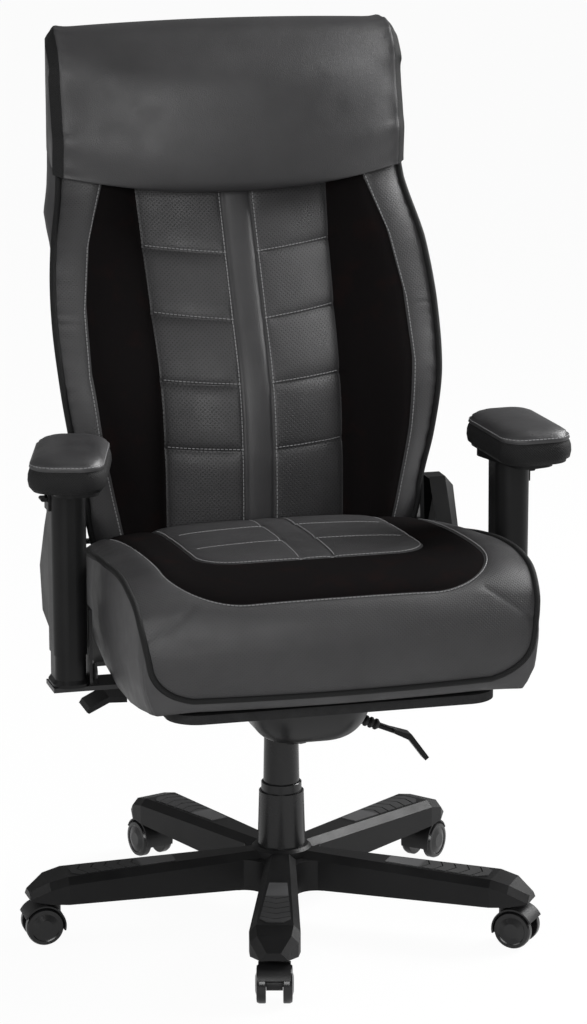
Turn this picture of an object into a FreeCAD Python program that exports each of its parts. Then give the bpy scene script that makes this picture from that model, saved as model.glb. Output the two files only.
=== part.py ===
import FreeCAD, Part
import math
import os

# Gaming chair on a five-leg swivel base. Millimetres, +Z up, the sitter faces -Y and the
# sitter's left is +X. The origin is on the floor under the axis of the gas column.

V = FreeCAD.Vector
os.makedirs("parts", exist_ok=True)

# Clearances shared by the whole chair
RUNNING_FIT = 0.05
MOVING_GAP = 0.4
SEAT_GAP = 0.3

# Five-leg base
LEG_COUNT = 5
FRONT_LEG_HEADING = -106.5
TIP_RADIUS = 349.0
STEM_RADIUS = 314.0
HUB_RADIUS = 40.0
HUB_BOTTOM = 47.0
HUB_TOP = 105.0
LEG_WALL = 4.0
LEG_ROOT_HALF_WIDTH = 20.0
LEG_WIDE_HALF_WIDTH = 33.0
LEG_TIP_HALF_WIDTH = 18.0
LEG_WIDE_RADIUS = 300.0
LEG_ROOT_TOP = 101.0
LEG_WIDE_TOP = 93.0
LEG_TIP_TOP = 72.0
LEG_ROOT_BOTTOM = 50.0
LEG_WIDE_BOTTOM = 57.0
LEG_TIP_BOTTOM = 62.0
LEG_CHAMFER = 9.0
RIB_THICKNESS = 3.0
RIB_COUNT = 3
TREAD_START = 150.0
TREAD_END = 292.0
TREAD_INNER_HALF_WIDTH = 12.0
TREAD_OUTER_HALF_WIDTH = 20.0
TREAD_THICKNESS = 3.0
TREAD_PROUD = 1.2
CHEVRON_COUNT = 5
CHEVRON_GROOVE = 2.4
CHEVRON_DEPTH = 1.5

# Casters, with the heading of each one's trail, in the order of the legs
WHEEL_RADIUS = 25.0
WHEEL_WIDTH = 13.5
WHEEL_SPACE = 22.0
CASTER_TRAIL = 16.0
AXLE_RADIUS = 4.0
STEM_SHAFT_RADIUS = 5.5
SWIVEL_BOSS_TOP = 57.0
SOCKET_TOP = 80.0
SOCKET_WALL = 1.5
HOOD_WALL = 2.2
HOOD_GAP = 1.6
CASTER_HEADINGS = {
    "front": -105.0,
    "left_front": -38.0,
    "left_rear": 45.0,
    "right_rear": 107.0,
    "right_front": 180.0,
}

# Gas column
TUBE_RADIUS = 21.0
TUBE_WALL = 2.0
TUBE_TAPER_RADIUS = 19.8
TUBE_TOP = 196.0
BUSH_LENGTH = 58.0
CYLINDER_RADIUS = 14.0
CYLINDER_BORE_RADIUS = 11.0
CYLINDER_BOTTOM = 127.0
CYLINDER_END_WALL = 5.0
CYLINDER_TAPER_LENGTH = 36.0
CYLINDER_TAPER_RADIUS = 13.2
PISTON_ROD_RADIUS = 5.0
PISTON_HEIGHT = 8.0
PISTON_TOP = 188.0
COVER_WALL = 1.8
COVER_LOWER_RADIUS = 30.0
COVER_LOWER_FOOT_RADIUS = 32.0
COVER_LOWER_TOP = 179.0
COVER_MIDDLE_RADIUS = 27.0
COVER_MIDDLE_BOTTOM = 147.0
COVER_MIDDLE_TOP = 192.0
COVER_UPPER_RADIUS = 22.9
COVER_UPPER_FOOT_RADIUS = 24.6
COVER_UPPER_BOTTOM = 169.0
COVER_UPPER_TOP = 262.0
BEARING_HEIGHT = 4.0
CLIP_THICKNESS = 1.6

# Tilt mechanism
HOUSING_CENTRE_Y = -70.0
HOUSING_BOTTOM = 288.0
HOUSING_TOP = 346.0
HOUSING_REAR_DROP = 20.0
HOUSING_HALF_WIDTH = 82.0
HOUSING_HALF_LENGTH = 122.0
HOUSING_FLOOR_HALF_WIDTH = 44.0
HOUSING_FLOOR_HALF_LENGTH = 76.0
HOUSING_WALL = 3.0
SOCKET_HEIGHT = 38.0
SOCKET_BOSS_RADIUS = 20.0
TILT_PIVOT_Y = -104.0
TILT_PIVOT_Z = 326.0
TILT_SHAFT_RADIUS = 6.0
KNOB_Y = -58.0
KNOB_RADIUS = 24.0
KNOB_HEIGHT = 22.0
KNOB_FLUTES = 8
KNOB_FLUTE_RADIUS = 5.0
KNOB_SCREW_RADIUS = 5.0
SPRING_RADIUS = 17.0
SPRING_WIRE = 5.0

# Levers
HEIGHT_LEVER_Y = -4.0
HEIGHT_LEVER_REACH = 270.0
HEIGHT_PADDLE_LENGTH = 54.0
HEIGHT_PADDLE_DEPTH = 50.0
HEIGHT_PADDLE_THICKNESS = 8.0
GRIP_GROOVE_COUNT = 6
GRIP_GROOVE_PITCH = 8.0
LEVER_ROD_RADIUS = 4.0
LEVER_HOLE_GAP = 2.0
LOCK_LEVER_Y = -55.0
BELLOWS_RADIUS = 7.5
BELLOWS_RIBS = 7
LOCK_PADDLE_WIDTH = 22.0
LOCK_PADDLE_THICKNESS = 5.0

# Seat
SEAT_HALF_WIDTH = 264.0
SEAT_FRONT_Y = -330.0
SEAT_REAR_Y = 100.0
SEAT_BOTTOM = 372.0
PAN_THICKNESS = 12.0
PAN_BOTTOM = 364.0
PAN_HALF_WIDTH = 215.0
PLATE_THICKNESS = 6.0
PLATE_HALF_WIDTH = 104.0
PLATE_HALF_LENGTH = 118.0
EAR_THICKNESS = 4.0
EAR_OFFSET = 52.0
SEAT_BOLT_RADIUS = 4.0
SEAT_BOLT_HEAD_RADIUS = 7.0
SEAT_BOLT_HEAD_HEIGHT = 4.0

# Arms
ARM_X = 298.0
ARM_Y = -50.0
STRAP_WIDTH = 50.0
STRAP_THICKNESS = 6.0
STRAP_INNER_X = 112.0
POST_HALF_X = 16.0
POST_HALF_Y = 24.0
POST_WALL = 2.5
POST_TOP = 560.0
COLLAR_HALF_X = 20.5
COLLAR_HALF_Y = 28.0
COLLAR_FLARE = 3.5
COLLAR_TOP = 406.0
SLEEVE_HALF_X = 23.0
SLEEVE_HALF_Y = 31.0
SLEEVE_TOP = 626.0
SLEEVE_CAP = 5.0
TRIGGER_Z = 611.0
TRIGGER_REACH = 13.0
TRIGGER_WIDTH = 16.0
TRIGGER_THICKNESS = 5.0
TRIGGER_TRAVEL = 4.0
PAD_PLATE_THICKNESS = 10.0
PAD_PLATE_LENGTH = 120.0
PAD_PLATE_WIDTH = 58.0
PAD_LENGTH = 172.0
PAD_WIDTH = 96.0
PAD_SIDE_HEIGHT = 36.0
PAD_CROWN = 16.0
PAD_FORWARD = 22.0
PAD_TURN = {"left": 16.0, "right": 3.0}

# Recliner brackets and their covers
RECLINE_Y = 150.0
RECLINE_Z = 428.0
BRACKET_THICKNESS = 6.0
BACK_BRACKET_X = 233.0
BACK_BOLT_RISES = (68.0, 106.0)
PIN_RADIUS = 8.0
BRACKET_COVER_DEPTH = 34.0
BRACKET_COVER_WALL = 3.0

# Back
BACK_BOTTOM = 440.0
BACK_TOP = 1160.0
BACK_VALLEY_X = 124.0
BACK_BOARD_THICKNESS = 10.0
BACK_COVER_THICKNESS = 14.0
HEAD_HALF_WIDTH = 250.0
HEAD_TOP = 1184.0
HEAD_BOTTOM = 952.0
HEAD_FRONT_Y = 204.0
CUSHION_TOP = 1005.0


# Front surface of the back at its middle, from the bottom up: height, half width, Y,
# and the depth of the seam valleys beside the middle panel
BACK_LEVELS = [
    (BACK_BOTTOM, 205.0, 112.0, 16.0),
    (520.0, 226.0, 106.0, 26.0),
    (560.0, 231.0, 105.0, 28.0),
    (630.0, 247.0, 108.0, 30.0),
    (710.0, 259.0, 124.0, 30.0),
    (800.0, 262.0, 165.0, 30.0),
    (880.0, 255.0, 203.0, 28.0),
    (955.0, 238.0, 237.0, 22.0),
    (1060.0, 230.0, 265.0, 12.0),
    (BACK_TOP, 224.0, 288.0, 8.0),
]
HEAD_LIP_LEVELS = BACK_LEVELS[7:9]
BACK_CREST_RISE = 4.0
BACK_EDGE_SET = 26.0
BACK_THICKNESS = 54.0

# Sections of the seat cushion from the front back: Y, half width, bottom, top, crown
SEAT_SECTIONS = [
    (SEAT_FRONT_Y, 222.0, 408.0, 496.0, 5.0),
    (-316.0, 246.0, 385.0, 524.0, 6.0),
    (-284.0, 258.0, 375.0, 538.0, 4.0),
    (-220.0, 264.0, SEAT_BOTTOM, 545.0, -3.0),
    (-90.0, 263.0, SEAT_BOTTOM, 542.0, -8.0),
    (20.0, 254.0, SEAT_BOTTOM, 532.0, -3.0),
    (SEAT_REAR_Y, 240.0, SEAT_BOTTOM, 520.0, 6.0),
]
SEAT_TOP_ROLL = 34.0
SEAT_BOTTOM_DRAW = 26.0


def save(name, *solids):
    shape = solids[0] if len(solids) == 1 else Part.makeCompound(list(solids))
    shape.exportStep(os.path.join("parts", name + ".step"))


def mirror_x(shape):
    return shape.mirror(V(0, 0, 0), V(1, 0, 0))


def box(x0, x1, y0, y1, z0, z1):
    return Part.makeBox(x1 - x0, y1 - y0, z1 - z0, V(x0, y0, z0))


def post(radius, z0, z1, x=0.0, y=0.0):
    return Part.makeCylinder(radius, z1 - z0, V(x, y, z0), V(0, 0, 1))


def bar(radius, start, end):
    direction = end.sub(start)
    return Part.makeCylinder(radius, direction.Length, start, direction)


def polygon(points):
    return Part.makePolygon(points + points[:1])


def prism(points, direction):
    return Part.Face(polygon(points)).extrude(direction)


def side_prism(outline, x0, x1):
    return prism([V(x0, y, z) for y, z in outline], V(x1 - x0, 0, 0))


def turned(profile):
    """A solid of revolution about Z from (radius, height) corners."""
    return Part.Face(polygon([V(r, 0, z) for r, z in profile])).revolve(V(0, 0, 0), V(0, 0, 1), 360)


def arc(start, middle, end):
    return Part.Arc(start, middle, end).toShape()


def line(start, end):
    return Part.LineSegment(start, end).toShape()


def oval(half_x, half_y, z, corner, x=0.0, y=0.0):
    """A horizontal rectangle with round corners, as a wire."""
    a = half_x - corner
    b = half_y - corner
    c = corner * math.sqrt(0.5)
    corners = [(a, b, 1, 1), (-a, b, -1, 1), (-a, -b, -1, -1), (a, -b, 1, -1)]
    edges = []
    ends = []
    for cx, cy, sx, sy in corners:
        on_x = V(x + cx + sx * corner, y + cy, z)
        on_y = V(x + cx, y + cy + sy * corner, z)
        middle = V(x + cx + sx * c, y + cy + sy * c, z)
        first, last = (on_x, on_y) if sx == sy else (on_y, on_x)
        edges.append(arc(first, middle, last))
        ends.append((first, last))
    joined = []
    for i in range(4):
        joined.append(edges[i])
        joined.append(line(ends[i][1], ends[(i + 1) % 4][0]))
    return Part.Wire(joined)


def loft(wires, ruled=False):
    return Part.makeLoft(wires, True, ruled)


def oval_prism(half_x, half_y, z0, z1, corner, x=0.0, y=0.0):
    return Part.Face(oval(half_x, half_y, z0, corner, x, y)).extrude(V(0, 0, z1 - z0))


def turn_z(shape, degrees, x=0.0, y=0.0):
    copy = shape.copy()
    copy.rotate(V(x, y, 0), V(0, 0, 1), degrees)
    return copy


# Five-leg base


def between(x, x0, y0, x1, y1):
    return y0 + (y1 - y0) * (x - x0) / (x1 - x0)


def leg_top(x):
    return between(x, HUB_RADIUS, LEG_ROOT_TOP, LEG_WIDE_RADIUS, LEG_WIDE_TOP)


def leg_bottom(x):
    return between(x, HUB_RADIUS, LEG_ROOT_BOTTOM, LEG_WIDE_RADIUS, LEG_WIDE_BOTTOM)


def leg_half_width(x):
    return between(x, HUB_RADIUS, LEG_ROOT_HALF_WIDTH, LEG_WIDE_RADIUS, LEG_WIDE_HALF_WIDTH)


def leg_section(x, half_width, bottom, top):
    """A leg's section: upright sides with a chamfer up to the flat top."""
    flat = half_width - LEG_CHAMFER
    shoulder = top - LEG_CHAMFER
    outline = [(-half_width, bottom), (half_width, bottom), (half_width, shoulder)]
    outline += [(flat, top), (-flat, top), (-half_width, shoulder)]
    return polygon([V(x, y, z) for y, z in outline])


def leg_body():
    root = HUB_RADIUS * 0.5
    wires = [leg_section(root, LEG_ROOT_HALF_WIDTH, LEG_ROOT_BOTTOM, LEG_ROOT_TOP)]
    wires.append(leg_section(HUB_RADIUS, LEG_ROOT_HALF_WIDTH, LEG_ROOT_BOTTOM, LEG_ROOT_TOP))
    wires.append(leg_section(LEG_WIDE_RADIUS, LEG_WIDE_HALF_WIDTH, LEG_WIDE_BOTTOM, LEG_WIDE_TOP))
    near_tip = 0.5 * (LEG_WIDE_RADIUS + TIP_RADIUS)
    wires.append(leg_section(near_tip, LEG_WIDE_HALF_WIDTH - 2, LEG_WIDE_BOTTOM + 2, LEG_WIDE_TOP - 6))
    wires.append(leg_section(TIP_RADIUS, LEG_TIP_HALF_WIDTH, LEG_TIP_BOTTOM, LEG_TIP_TOP))
    return loft(wires, True)


def leg_cavity():
    """The open underside of a leg, with cross ribs left standing."""
    start = HUB_RADIUS + LEG_WALL
    end = STEM_RADIUS - STEM_SHAFT_RADIUS - SOCKET_WALL - 2 * LEG_WALL
    wires = []
    for x in (start, end):
        half = leg_half_width(x) - LEG_WALL
        low = leg_bottom(x) - LEG_WALL
        high = leg_top(x) - LEG_CHAMFER - LEG_WALL
        wires.append(polygon([V(x, -half, low), V(x, half, low), V(x, half, high), V(x, -half, high)]))
    cavity = loft(wires, True)
    step = (end - start) / (RIB_COUNT + 1)
    for i in range(1, RIB_COUNT + 1):
        x = start + i * step
        half = LEG_WIDE_HALF_WIDTH
        cavity = cavity.cut(box(x, x + RIB_THICKNESS, -half, half, 0, LEG_ROOT_TOP))
    return cavity


def tread_blank(extra=0.0):
    """The plain tread insert of a leg, lying on the leg's sloping top."""
    inner = TREAD_INNER_HALF_WIDTH
    outer = TREAD_OUTER_HALF_WIDTH
    nose = TREAD_END - outer * 0.6
    low = leg_top(TREAD_START) + TREAD_PROUD - TREAD_THICKNESS
    outline = [(TREAD_START, -inner), (nose, -outer), (TREAD_END, -outer * 0.55)]
    outline += [(TREAD_END, outer * 0.55), (nose, outer), (TREAD_START, inner)]
    blank = prism([V(x, y, low) for x, y in outline], V(0, 0, TREAD_THICKNESS + extra))
    slope = math.degrees(math.atan2(leg_top(TREAD_START) - leg_top(TREAD_END), TREAD_END - TREAD_START))
    blank.rotate(V(TREAD_START, 0, low), V(0, 1, 0), slope)
    return blank


def tread_insert():
    """A tread insert with V-shaped grooves between its chevrons."""
    insert = tread_blank()
    patch = (TREAD_END - TREAD_START) * 0.28
    pitch = (TREAD_END - TREAD_START - patch) / (CHEVRON_COUNT + 0.6)
    for i in range(CHEVRON_COUNT):
        x = TREAD_START + patch + (i + 0.4) * pitch
        top = leg_top(x) + TREAD_PROUD
        half = TREAD_OUTER_HALF_WIDTH + 1
        sweep = pitch * 0.55
        outline = [(x, -half), (x + sweep, 0), (x, half)]
        outline += [(x + CHEVRON_GROOVE, half), (x + sweep + CHEVRON_GROOVE, 0), (x + CHEVRON_GROOVE, -half)]
        groove = prism([V(px, py, top - CHEVRON_DEPTH) for px, py in outline], V(0, 0, 2 * CHEVRON_DEPTH))
        insert = insert.cut(groove)
    return insert


def hub_web():
    """The filler between two legs, hollowed by an arc that meets both legs' sides."""
    half_angle = math.pi / LEG_COUNT
    radius = LEG_ROOT_HALF_WIDTH * 1.4
    reach = (LEG_ROOT_HALF_WIDTH + radius) / math.sin(half_angle)
    along = (LEG_ROOT_HALF_WIDTH + radius) / math.tan(half_angle)
    top = LEG_ROOT_TOP - LEG_CHAMFER
    corners = [V(0, 0, LEG_ROOT_BOTTOM)]
    corners.append(V(along, LEG_ROOT_HALF_WIDTH, LEG_ROOT_BOTTOM))
    centre = V(reach * math.cos(half_angle), reach * math.sin(half_angle), LEG_ROOT_BOTTOM)
    corners.append(centre)
    mirrored = V(along, -LEG_ROOT_HALF_WIDTH, LEG_ROOT_BOTTOM)
    angle = 2 * half_angle
    turned_x = mirrored.x * math.cos(angle) - mirrored.y * math.sin(angle)
    turned_y = mirrored.x * math.sin(angle) + mirrored.y * math.cos(angle)
    corners.append(V(turned_x, turned_y, LEG_ROOT_BOTTOM))
    web = prism(corners, V(0, 0, top - LEG_ROOT_BOTTOM))
    return web.cut(post(radius, 0, HUB_TOP, centre.x, centre.y))


def socket_solid():
    outer = STEM_SHAFT_RADIUS + RUNNING_FIT + SOCKET_WALL
    sleeve = post(outer, LEG_WIDE_BOTTOM, SOCKET_TOP, STEM_RADIUS)
    bore = post(STEM_SHAFT_RADIUS + RUNNING_FIT, 0, SOCKET_TOP - SOCKET_WALL, STEM_RADIUS)
    return sleeve, bore


def leg_headings():
    return [FRONT_LEG_HEADING + i * 360.0 / LEG_COUNT for i in range(LEG_COUNT)]


def base_pieces():
    leg = leg_body().cut(leg_cavity()).cut(tread_blank(LEG_CHAMFER))
    sleeve, bore = socket_solid()
    leg = leg.cut(sleeve)
    star = turned([
        (0, HUB_BOTTOM), (HUB_RADIUS, HUB_BOTTOM), (HUB_RADIUS, LEG_ROOT_TOP),
        (HUB_RADIUS - LEG_WALL, HUB_TOP), (0, HUB_TOP),
    ])
    treads = []
    sockets = []
    for heading in leg_headings():
        star = star.fuse(turn_z(leg, heading)).fuse(turn_z(hub_web(), heading))
        treads.append(turn_z(tread_insert(), heading))
        sockets.append(turn_z(sleeve.cut(bore), heading))
    star = star.cut(tube_outer()).cut(post(TUBE_TAPER_RADIUS, 0, LEG_ROOT_BOTTOM)).removeSplitter()
    save("base_star", star)
    save("leg_treads", *treads)
    save("caster_sockets", *sockets)


# Casters


def caster_hood():
    """The hood over both wheels, its web between them and the swivel boss."""
    inner = WHEEL_RADIUS + HOOD_GAP
    outer = inner + HOOD_WALL
    half = WHEEL_SPACE / 2 + WHEEL_WIDTH * 0.72
    x = CASTER_TRAIL
    axis = V(0, 1, 0)
    guard = Part.makeCylinder(outer, 2 * half, V(x, -half, WHEEL_RADIUS), axis)
    guard = guard.cut(Part.makeCylinder(inner, 2 * half, V(x, -half, WHEEL_RADIUS), axis))
    reach = 2 * outer
    below = prism([
        V(x, -half, WHEEL_RADIUS), V(x - reach, -half, WHEEL_RADIUS - reach * 0.25),
        V(x - reach, -half, -reach), V(x + reach, -half, -reach), V(x + reach, -half, WHEEL_RADIUS + reach * 0.5),
    ], V(0, 2 * half, 0))
    guard = guard.cut(below)
    web_half = WHEEL_SPACE / 2 - MOVING_GAP
    web = Part.makeCylinder(outer - HOOD_WALL / 2, 2 * web_half, V(x, -web_half, WHEEL_RADIUS), axis)
    web = web.cut(below)
    hub = Part.makeCylinder(AXLE_RADIUS * 2.2, 2 * web_half, V(x, -web_half, WHEEL_RADIUS), axis)
    boss = post(STEM_SHAFT_RADIUS + 3.5, WHEEL_RADIUS + 2, SWIVEL_BOSS_TOP)
    clear = inner
    for side in (-1, 1):
        y = web_half if side > 0 else -web_half - WHEEL_WIDTH
        wheel_space = Part.makeCylinder(clear, WHEEL_WIDTH, V(x, y, WHEEL_RADIUS), axis)
        boss = boss.cut(wheel_space)
    hood = guard.fuse(web).fuse(hub).fuse(boss)
    hood = hood.cut(caster_axle()).cut(caster_stem())
    return hood.removeSplitter()


def caster_axle():
    half = WHEEL_SPACE / 2 + WHEEL_WIDTH * 0.7
    return Part.makeCylinder(AXLE_RADIUS, 2 * half, V(CASTER_TRAIL, -half, WHEEL_RADIUS), V(0, 1, 0))


def caster_stem():
    return post(STEM_SHAFT_RADIUS, WHEEL_RADIUS + 12, SOCKET_TOP - SOCKET_WALL - MOVING_GAP)


def caster_wheel(side):
    """A twin wheel: flat inside, domed cap outside, blind bore for the axle."""
    r = WHEEL_RADIUS
    w = WHEEL_WIDTH
    bore = AXLE_RADIUS + RUNNING_FIT
    profile = [(bore, 0), (r - 1, 0), (r, 1), (r, w * 0.62), (r - 1.5, w * 0.86), (r * 0.78, w * 0.9)]
    profile += [(r * 0.72, w * 0.84), (r * 0.4, w), (0, w), (0, w * 0.78), (bore, w * 0.78)]
    wheel = turned(profile)
    wheel.rotate(V(0, 0, 0), V(1, 0, 0), -90 * side)
    wheel.translate(V(CASTER_TRAIL, side * WHEEL_SPACE / 2, WHEEL_RADIUS))
    return wheel


def caster_pieces():
    hood = caster_hood()
    stem = caster_stem()
    axle = caster_axle()
    wheels = {"inner": caster_wheel(-1), "outer": caster_wheel(1)}
    for name, heading in zip(CASTER_HEADINGS, leg_headings()):
        angle = math.radians(heading)
        place = V(STEM_RADIUS * math.cos(angle), STEM_RADIUS * math.sin(angle), 0)

        def placed(shape):
            copy = turn_z(shape, CASTER_HEADINGS[name])
            copy.translate(place)
            return copy

        save("caster_" + name + "_hood", placed(hood), placed(stem), placed(axle))
        for side in wheels:
            save("caster_" + name + "_wheel_" + side, placed(wheels[side]))


# Gas column


def tube_outer():
    """The support tube's outside, its tapered foot pressed into the hub."""
    return turned([
        (0, LEG_ROOT_BOTTOM), (TUBE_TAPER_RADIUS, LEG_ROOT_BOTTOM), (TUBE_RADIUS, HUB_TOP),
        (TUBE_RADIUS, TUBE_TOP), (0, TUBE_TOP),
    ])


def column_base_pieces():
    floor_top = LEG_ROOT_BOTTOM + 2 * TUBE_WALL
    bore = turned([
        (0, floor_top), (TUBE_TAPER_RADIUS - TUBE_WALL, floor_top), (TUBE_RADIUS - TUBE_WALL, HUB_TOP),
        (TUBE_RADIUS - TUBE_WALL, TUBE_TOP), (0, TUBE_TOP),
    ])
    rod_hole = PISTON_ROD_RADIUS + RUNNING_FIT
    save("gas_support_tube", tube_outer().cut(bore).cut(post(rod_hole, 0, TUBE_TOP)))
    bush = post(TUBE_RADIUS - TUBE_WALL, TUBE_TOP - BUSH_LENGTH, TUBE_TOP)
    save("guide_bush", bush.cut(post(CYLINDER_RADIUS + RUNNING_FIT, 0, TUBE_TOP)))
    inner_lip = COVER_MIDDLE_RADIUS + SEAT_GAP
    lip = 5.0
    save("cover_lower", turned([
        (COVER_LOWER_FOOT_RADIUS - COVER_WALL, HUB_TOP), (COVER_LOWER_FOOT_RADIUS, HUB_TOP),
        (COVER_LOWER_RADIUS, COVER_LOWER_TOP), (inner_lip, COVER_LOWER_TOP),
        (inner_lip, COVER_LOWER_TOP - lip), (COVER_LOWER_RADIUS - COVER_WALL, COVER_LOWER_TOP - lip),
    ]))


def column_moving_pieces():
    floor_top = LEG_ROOT_BOTTOM + 2 * TUBE_WALL
    rod = post(PISTON_ROD_RADIUS, HUB_BOTTOM, PISTON_TOP)
    piston = post(CYLINDER_BORE_RADIUS - RUNNING_FIT, PISTON_TOP - PISTON_HEIGHT, PISTON_TOP)
    save("piston_rod", rod.fuse(piston).removeSplitter())
    bearing_low = floor_top + SEAT_GAP
    race = post(PISTON_ROD_RADIUS + 5, bearing_low, bearing_low + BEARING_HEIGHT)
    race = race.cut(post(PISTON_ROD_RADIUS, 0, TUBE_TOP))
    clip_top = LEG_ROOT_BOTTOM - SEAT_GAP
    clip = post(PISTON_ROD_RADIUS + 3, clip_top - CLIP_THICKNESS, clip_top)
    clip = clip.cut(post(PISTON_ROD_RADIUS, 0, TUBE_TOP))
    mouth = PISTON_ROD_RADIUS * 0.6
    save("rod_bearing", race, clip.cut(box(0, TUBE_RADIUS, -mouth, mouth, 0, TUBE_TOP)))
    inner_lip = COVER_UPPER_FOOT_RADIUS + SEAT_GAP
    save("cover_middle", turned([
        (COVER_MIDDLE_RADIUS - COVER_WALL, COVER_MIDDLE_BOTTOM), (COVER_MIDDLE_RADIUS, COVER_MIDDLE_BOTTOM),
        (COVER_MIDDLE_RADIUS, COVER_MIDDLE_TOP - 1), (COVER_MIDDLE_RADIUS - 1, COVER_MIDDLE_TOP),
        (inner_lip, COVER_MIDDLE_TOP), (inner_lip, COVER_MIDDLE_TOP - 5),
        (COVER_MIDDLE_RADIUS - COVER_WALL, COVER_MIDDLE_TOP - 5),
    ]))
    foot = COVER_UPPER_FOOT_RADIUS
    save("cover_upper", turned([
        (foot - COVER_WALL, COVER_UPPER_BOTTOM), (foot, COVER_UPPER_BOTTOM),
        (COVER_UPPER_RADIUS, COVER_UPPER_TOP - 2), (COVER_UPPER_RADIUS - 2, COVER_UPPER_TOP),
        (CYLINDER_RADIUS, COVER_UPPER_TOP), (CYLINDER_RADIUS, COVER_UPPER_TOP - COVER_WALL),
        (COVER_UPPER_RADIUS - COVER_WALL, COVER_UPPER_TOP - 2 * COVER_WALL),
    ]))
    save("gas_cylinder", gas_cylinder())


def cylinder_top():
    return HOUSING_BOTTOM + CYLINDER_TAPER_LENGTH


def gas_cylinder():
    top = cylinder_top()
    outer = turned([
        (0, CYLINDER_BOTTOM), (CYLINDER_RADIUS, CYLINDER_BOTTOM), (CYLINDER_RADIUS, HOUSING_BOTTOM),
        (CYLINDER_TAPER_RADIUS, top), (4, top), (4, top + 5), (0, top + 5),
    ])
    bore = post(CYLINDER_BORE_RADIUS, CYLINDER_BOTTOM + CYLINDER_END_WALL, HOUSING_BOTTOM - CYLINDER_END_WALL)
    return outer.cut(bore).cut(post(PISTON_ROD_RADIUS + RUNNING_FIT, 0, CYLINDER_BOTTOM + CYLINDER_END_WALL))


# Tilt mechanism


def bowl(inset, bottom):
    """The pressed housing's rounded shape, or its inside when inset by the wall."""
    rise = HOUSING_TOP - HOUSING_BOTTOM
    wires = []
    for share, width_share in ((0.0, 0.0), (0.22, 0.55), (0.6, 0.88), (1.0, 1.0)):
        half_x = HOUSING_FLOOR_HALF_WIDTH + width_share * (HOUSING_HALF_WIDTH - HOUSING_FLOOR_HALF_WIDTH)
        half_y = HOUSING_FLOOR_HALF_LENGTH + width_share * (HOUSING_HALF_LENGTH - HOUSING_FLOOR_HALF_LENGTH)
        z = bottom + share * (HOUSING_BOTTOM + rise - bottom)
        wires.append(oval(half_x - inset, half_y - inset, z, half_x * 0.62, 0.0, HOUSING_CENTRE_Y))
    return loft(wires)


def mechanism_pieces():
    shell = bowl(0.0, HOUSING_BOTTOM).cut(bowl(HOUSING_WALL, HOUSING_BOTTOM + HOUSING_WALL))
    boss = post(SOCKET_BOSS_RADIUS, HOUSING_BOTTOM, HOUSING_BOTTOM + SOCKET_HEIGHT)
    shell = shell.fuse(boss)
    front = HOUSING_CENTRE_Y - HOUSING_HALF_LENGTH
    rear = HOUSING_CENTRE_Y + HOUSING_HALF_LENGTH
    above = [(front, HOUSING_TOP), (rear, HOUSING_TOP - HOUSING_REAR_DROP), (rear, 2 * HOUSING_TOP), (front, 2 * HOUSING_TOP)]
    shell = shell.cut(side_prism(above, -HOUSING_HALF_WIDTH, HOUSING_HALF_WIDTH))
    shell = shell.cut(gas_cylinder().fuse(post(CYLINDER_TAPER_RADIUS, HOUSING_BOTTOM, HOUSING_TOP)))
    shell = shell.cut(tilt_shaft())
    shell = shell.cut(post(KNOB_SCREW_RADIUS + RUNNING_FIT, HOUSING_BOTTOM, HOUSING_BOTTOM + HOUSING_WALL, 0, KNOB_Y))
    for start, end in (height_lever_line(), lock_lever_line()):
        shell = shell.cut(bar(LEVER_ROD_RADIUS + LEVER_HOLE_GAP, start, end))
    save("mechanism_housing", shell)
    save("tilt_shaft", tilt_shaft())
    spring_low = HOUSING_BOTTOM + HOUSING_WALL
    spring_high = PAN_BOTTOM - PLATE_THICKNESS
    spring = post(SPRING_RADIUS, spring_low, spring_high, 0, KNOB_Y)
    save("tilt_spring", spring.cut(post(SPRING_RADIUS - SPRING_WIRE, 0, spring_high, 0, KNOB_Y)))
    save("tension_knob", tension_knob())


def tilt_shaft():
    half = HOUSING_HALF_WIDTH
    return bar(TILT_SHAFT_RADIUS, V(-half, TILT_PIVOT_Y, TILT_PIVOT_Z), V(half, TILT_PIVOT_Y, TILT_PIVOT_Z))


def tension_knob():
    top = HOUSING_BOTTOM - SEAT_GAP
    knob = post(KNOB_RADIUS, top - KNOB_HEIGHT, top, 0, KNOB_Y)
    for i in range(KNOB_FLUTES):
        angle = 2 * math.pi * i / KNOB_FLUTES
        x = (KNOB_RADIUS + KNOB_FLUTE_RADIUS * 0.4) * math.cos(angle)
        y = KNOB_Y + (KNOB_RADIUS + KNOB_FLUTE_RADIUS * 0.4) * math.sin(angle)
        knob = knob.cut(post(KNOB_FLUTE_RADIUS, top - KNOB_HEIGHT, top - 3, x, y))
    screw = post(KNOB_SCREW_RADIUS, top, TILT_PIVOT_Z, 0, KNOB_Y)
    return knob.fuse(screw)


def height_lever_line():
    y = HEIGHT_LEVER_Y
    return V(-58, y, 309), V(-215, y, 329)


def lock_lever_line():
    y = LOCK_LEVER_Y
    return V(46, y, 306), V(152, y, 261)


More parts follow.
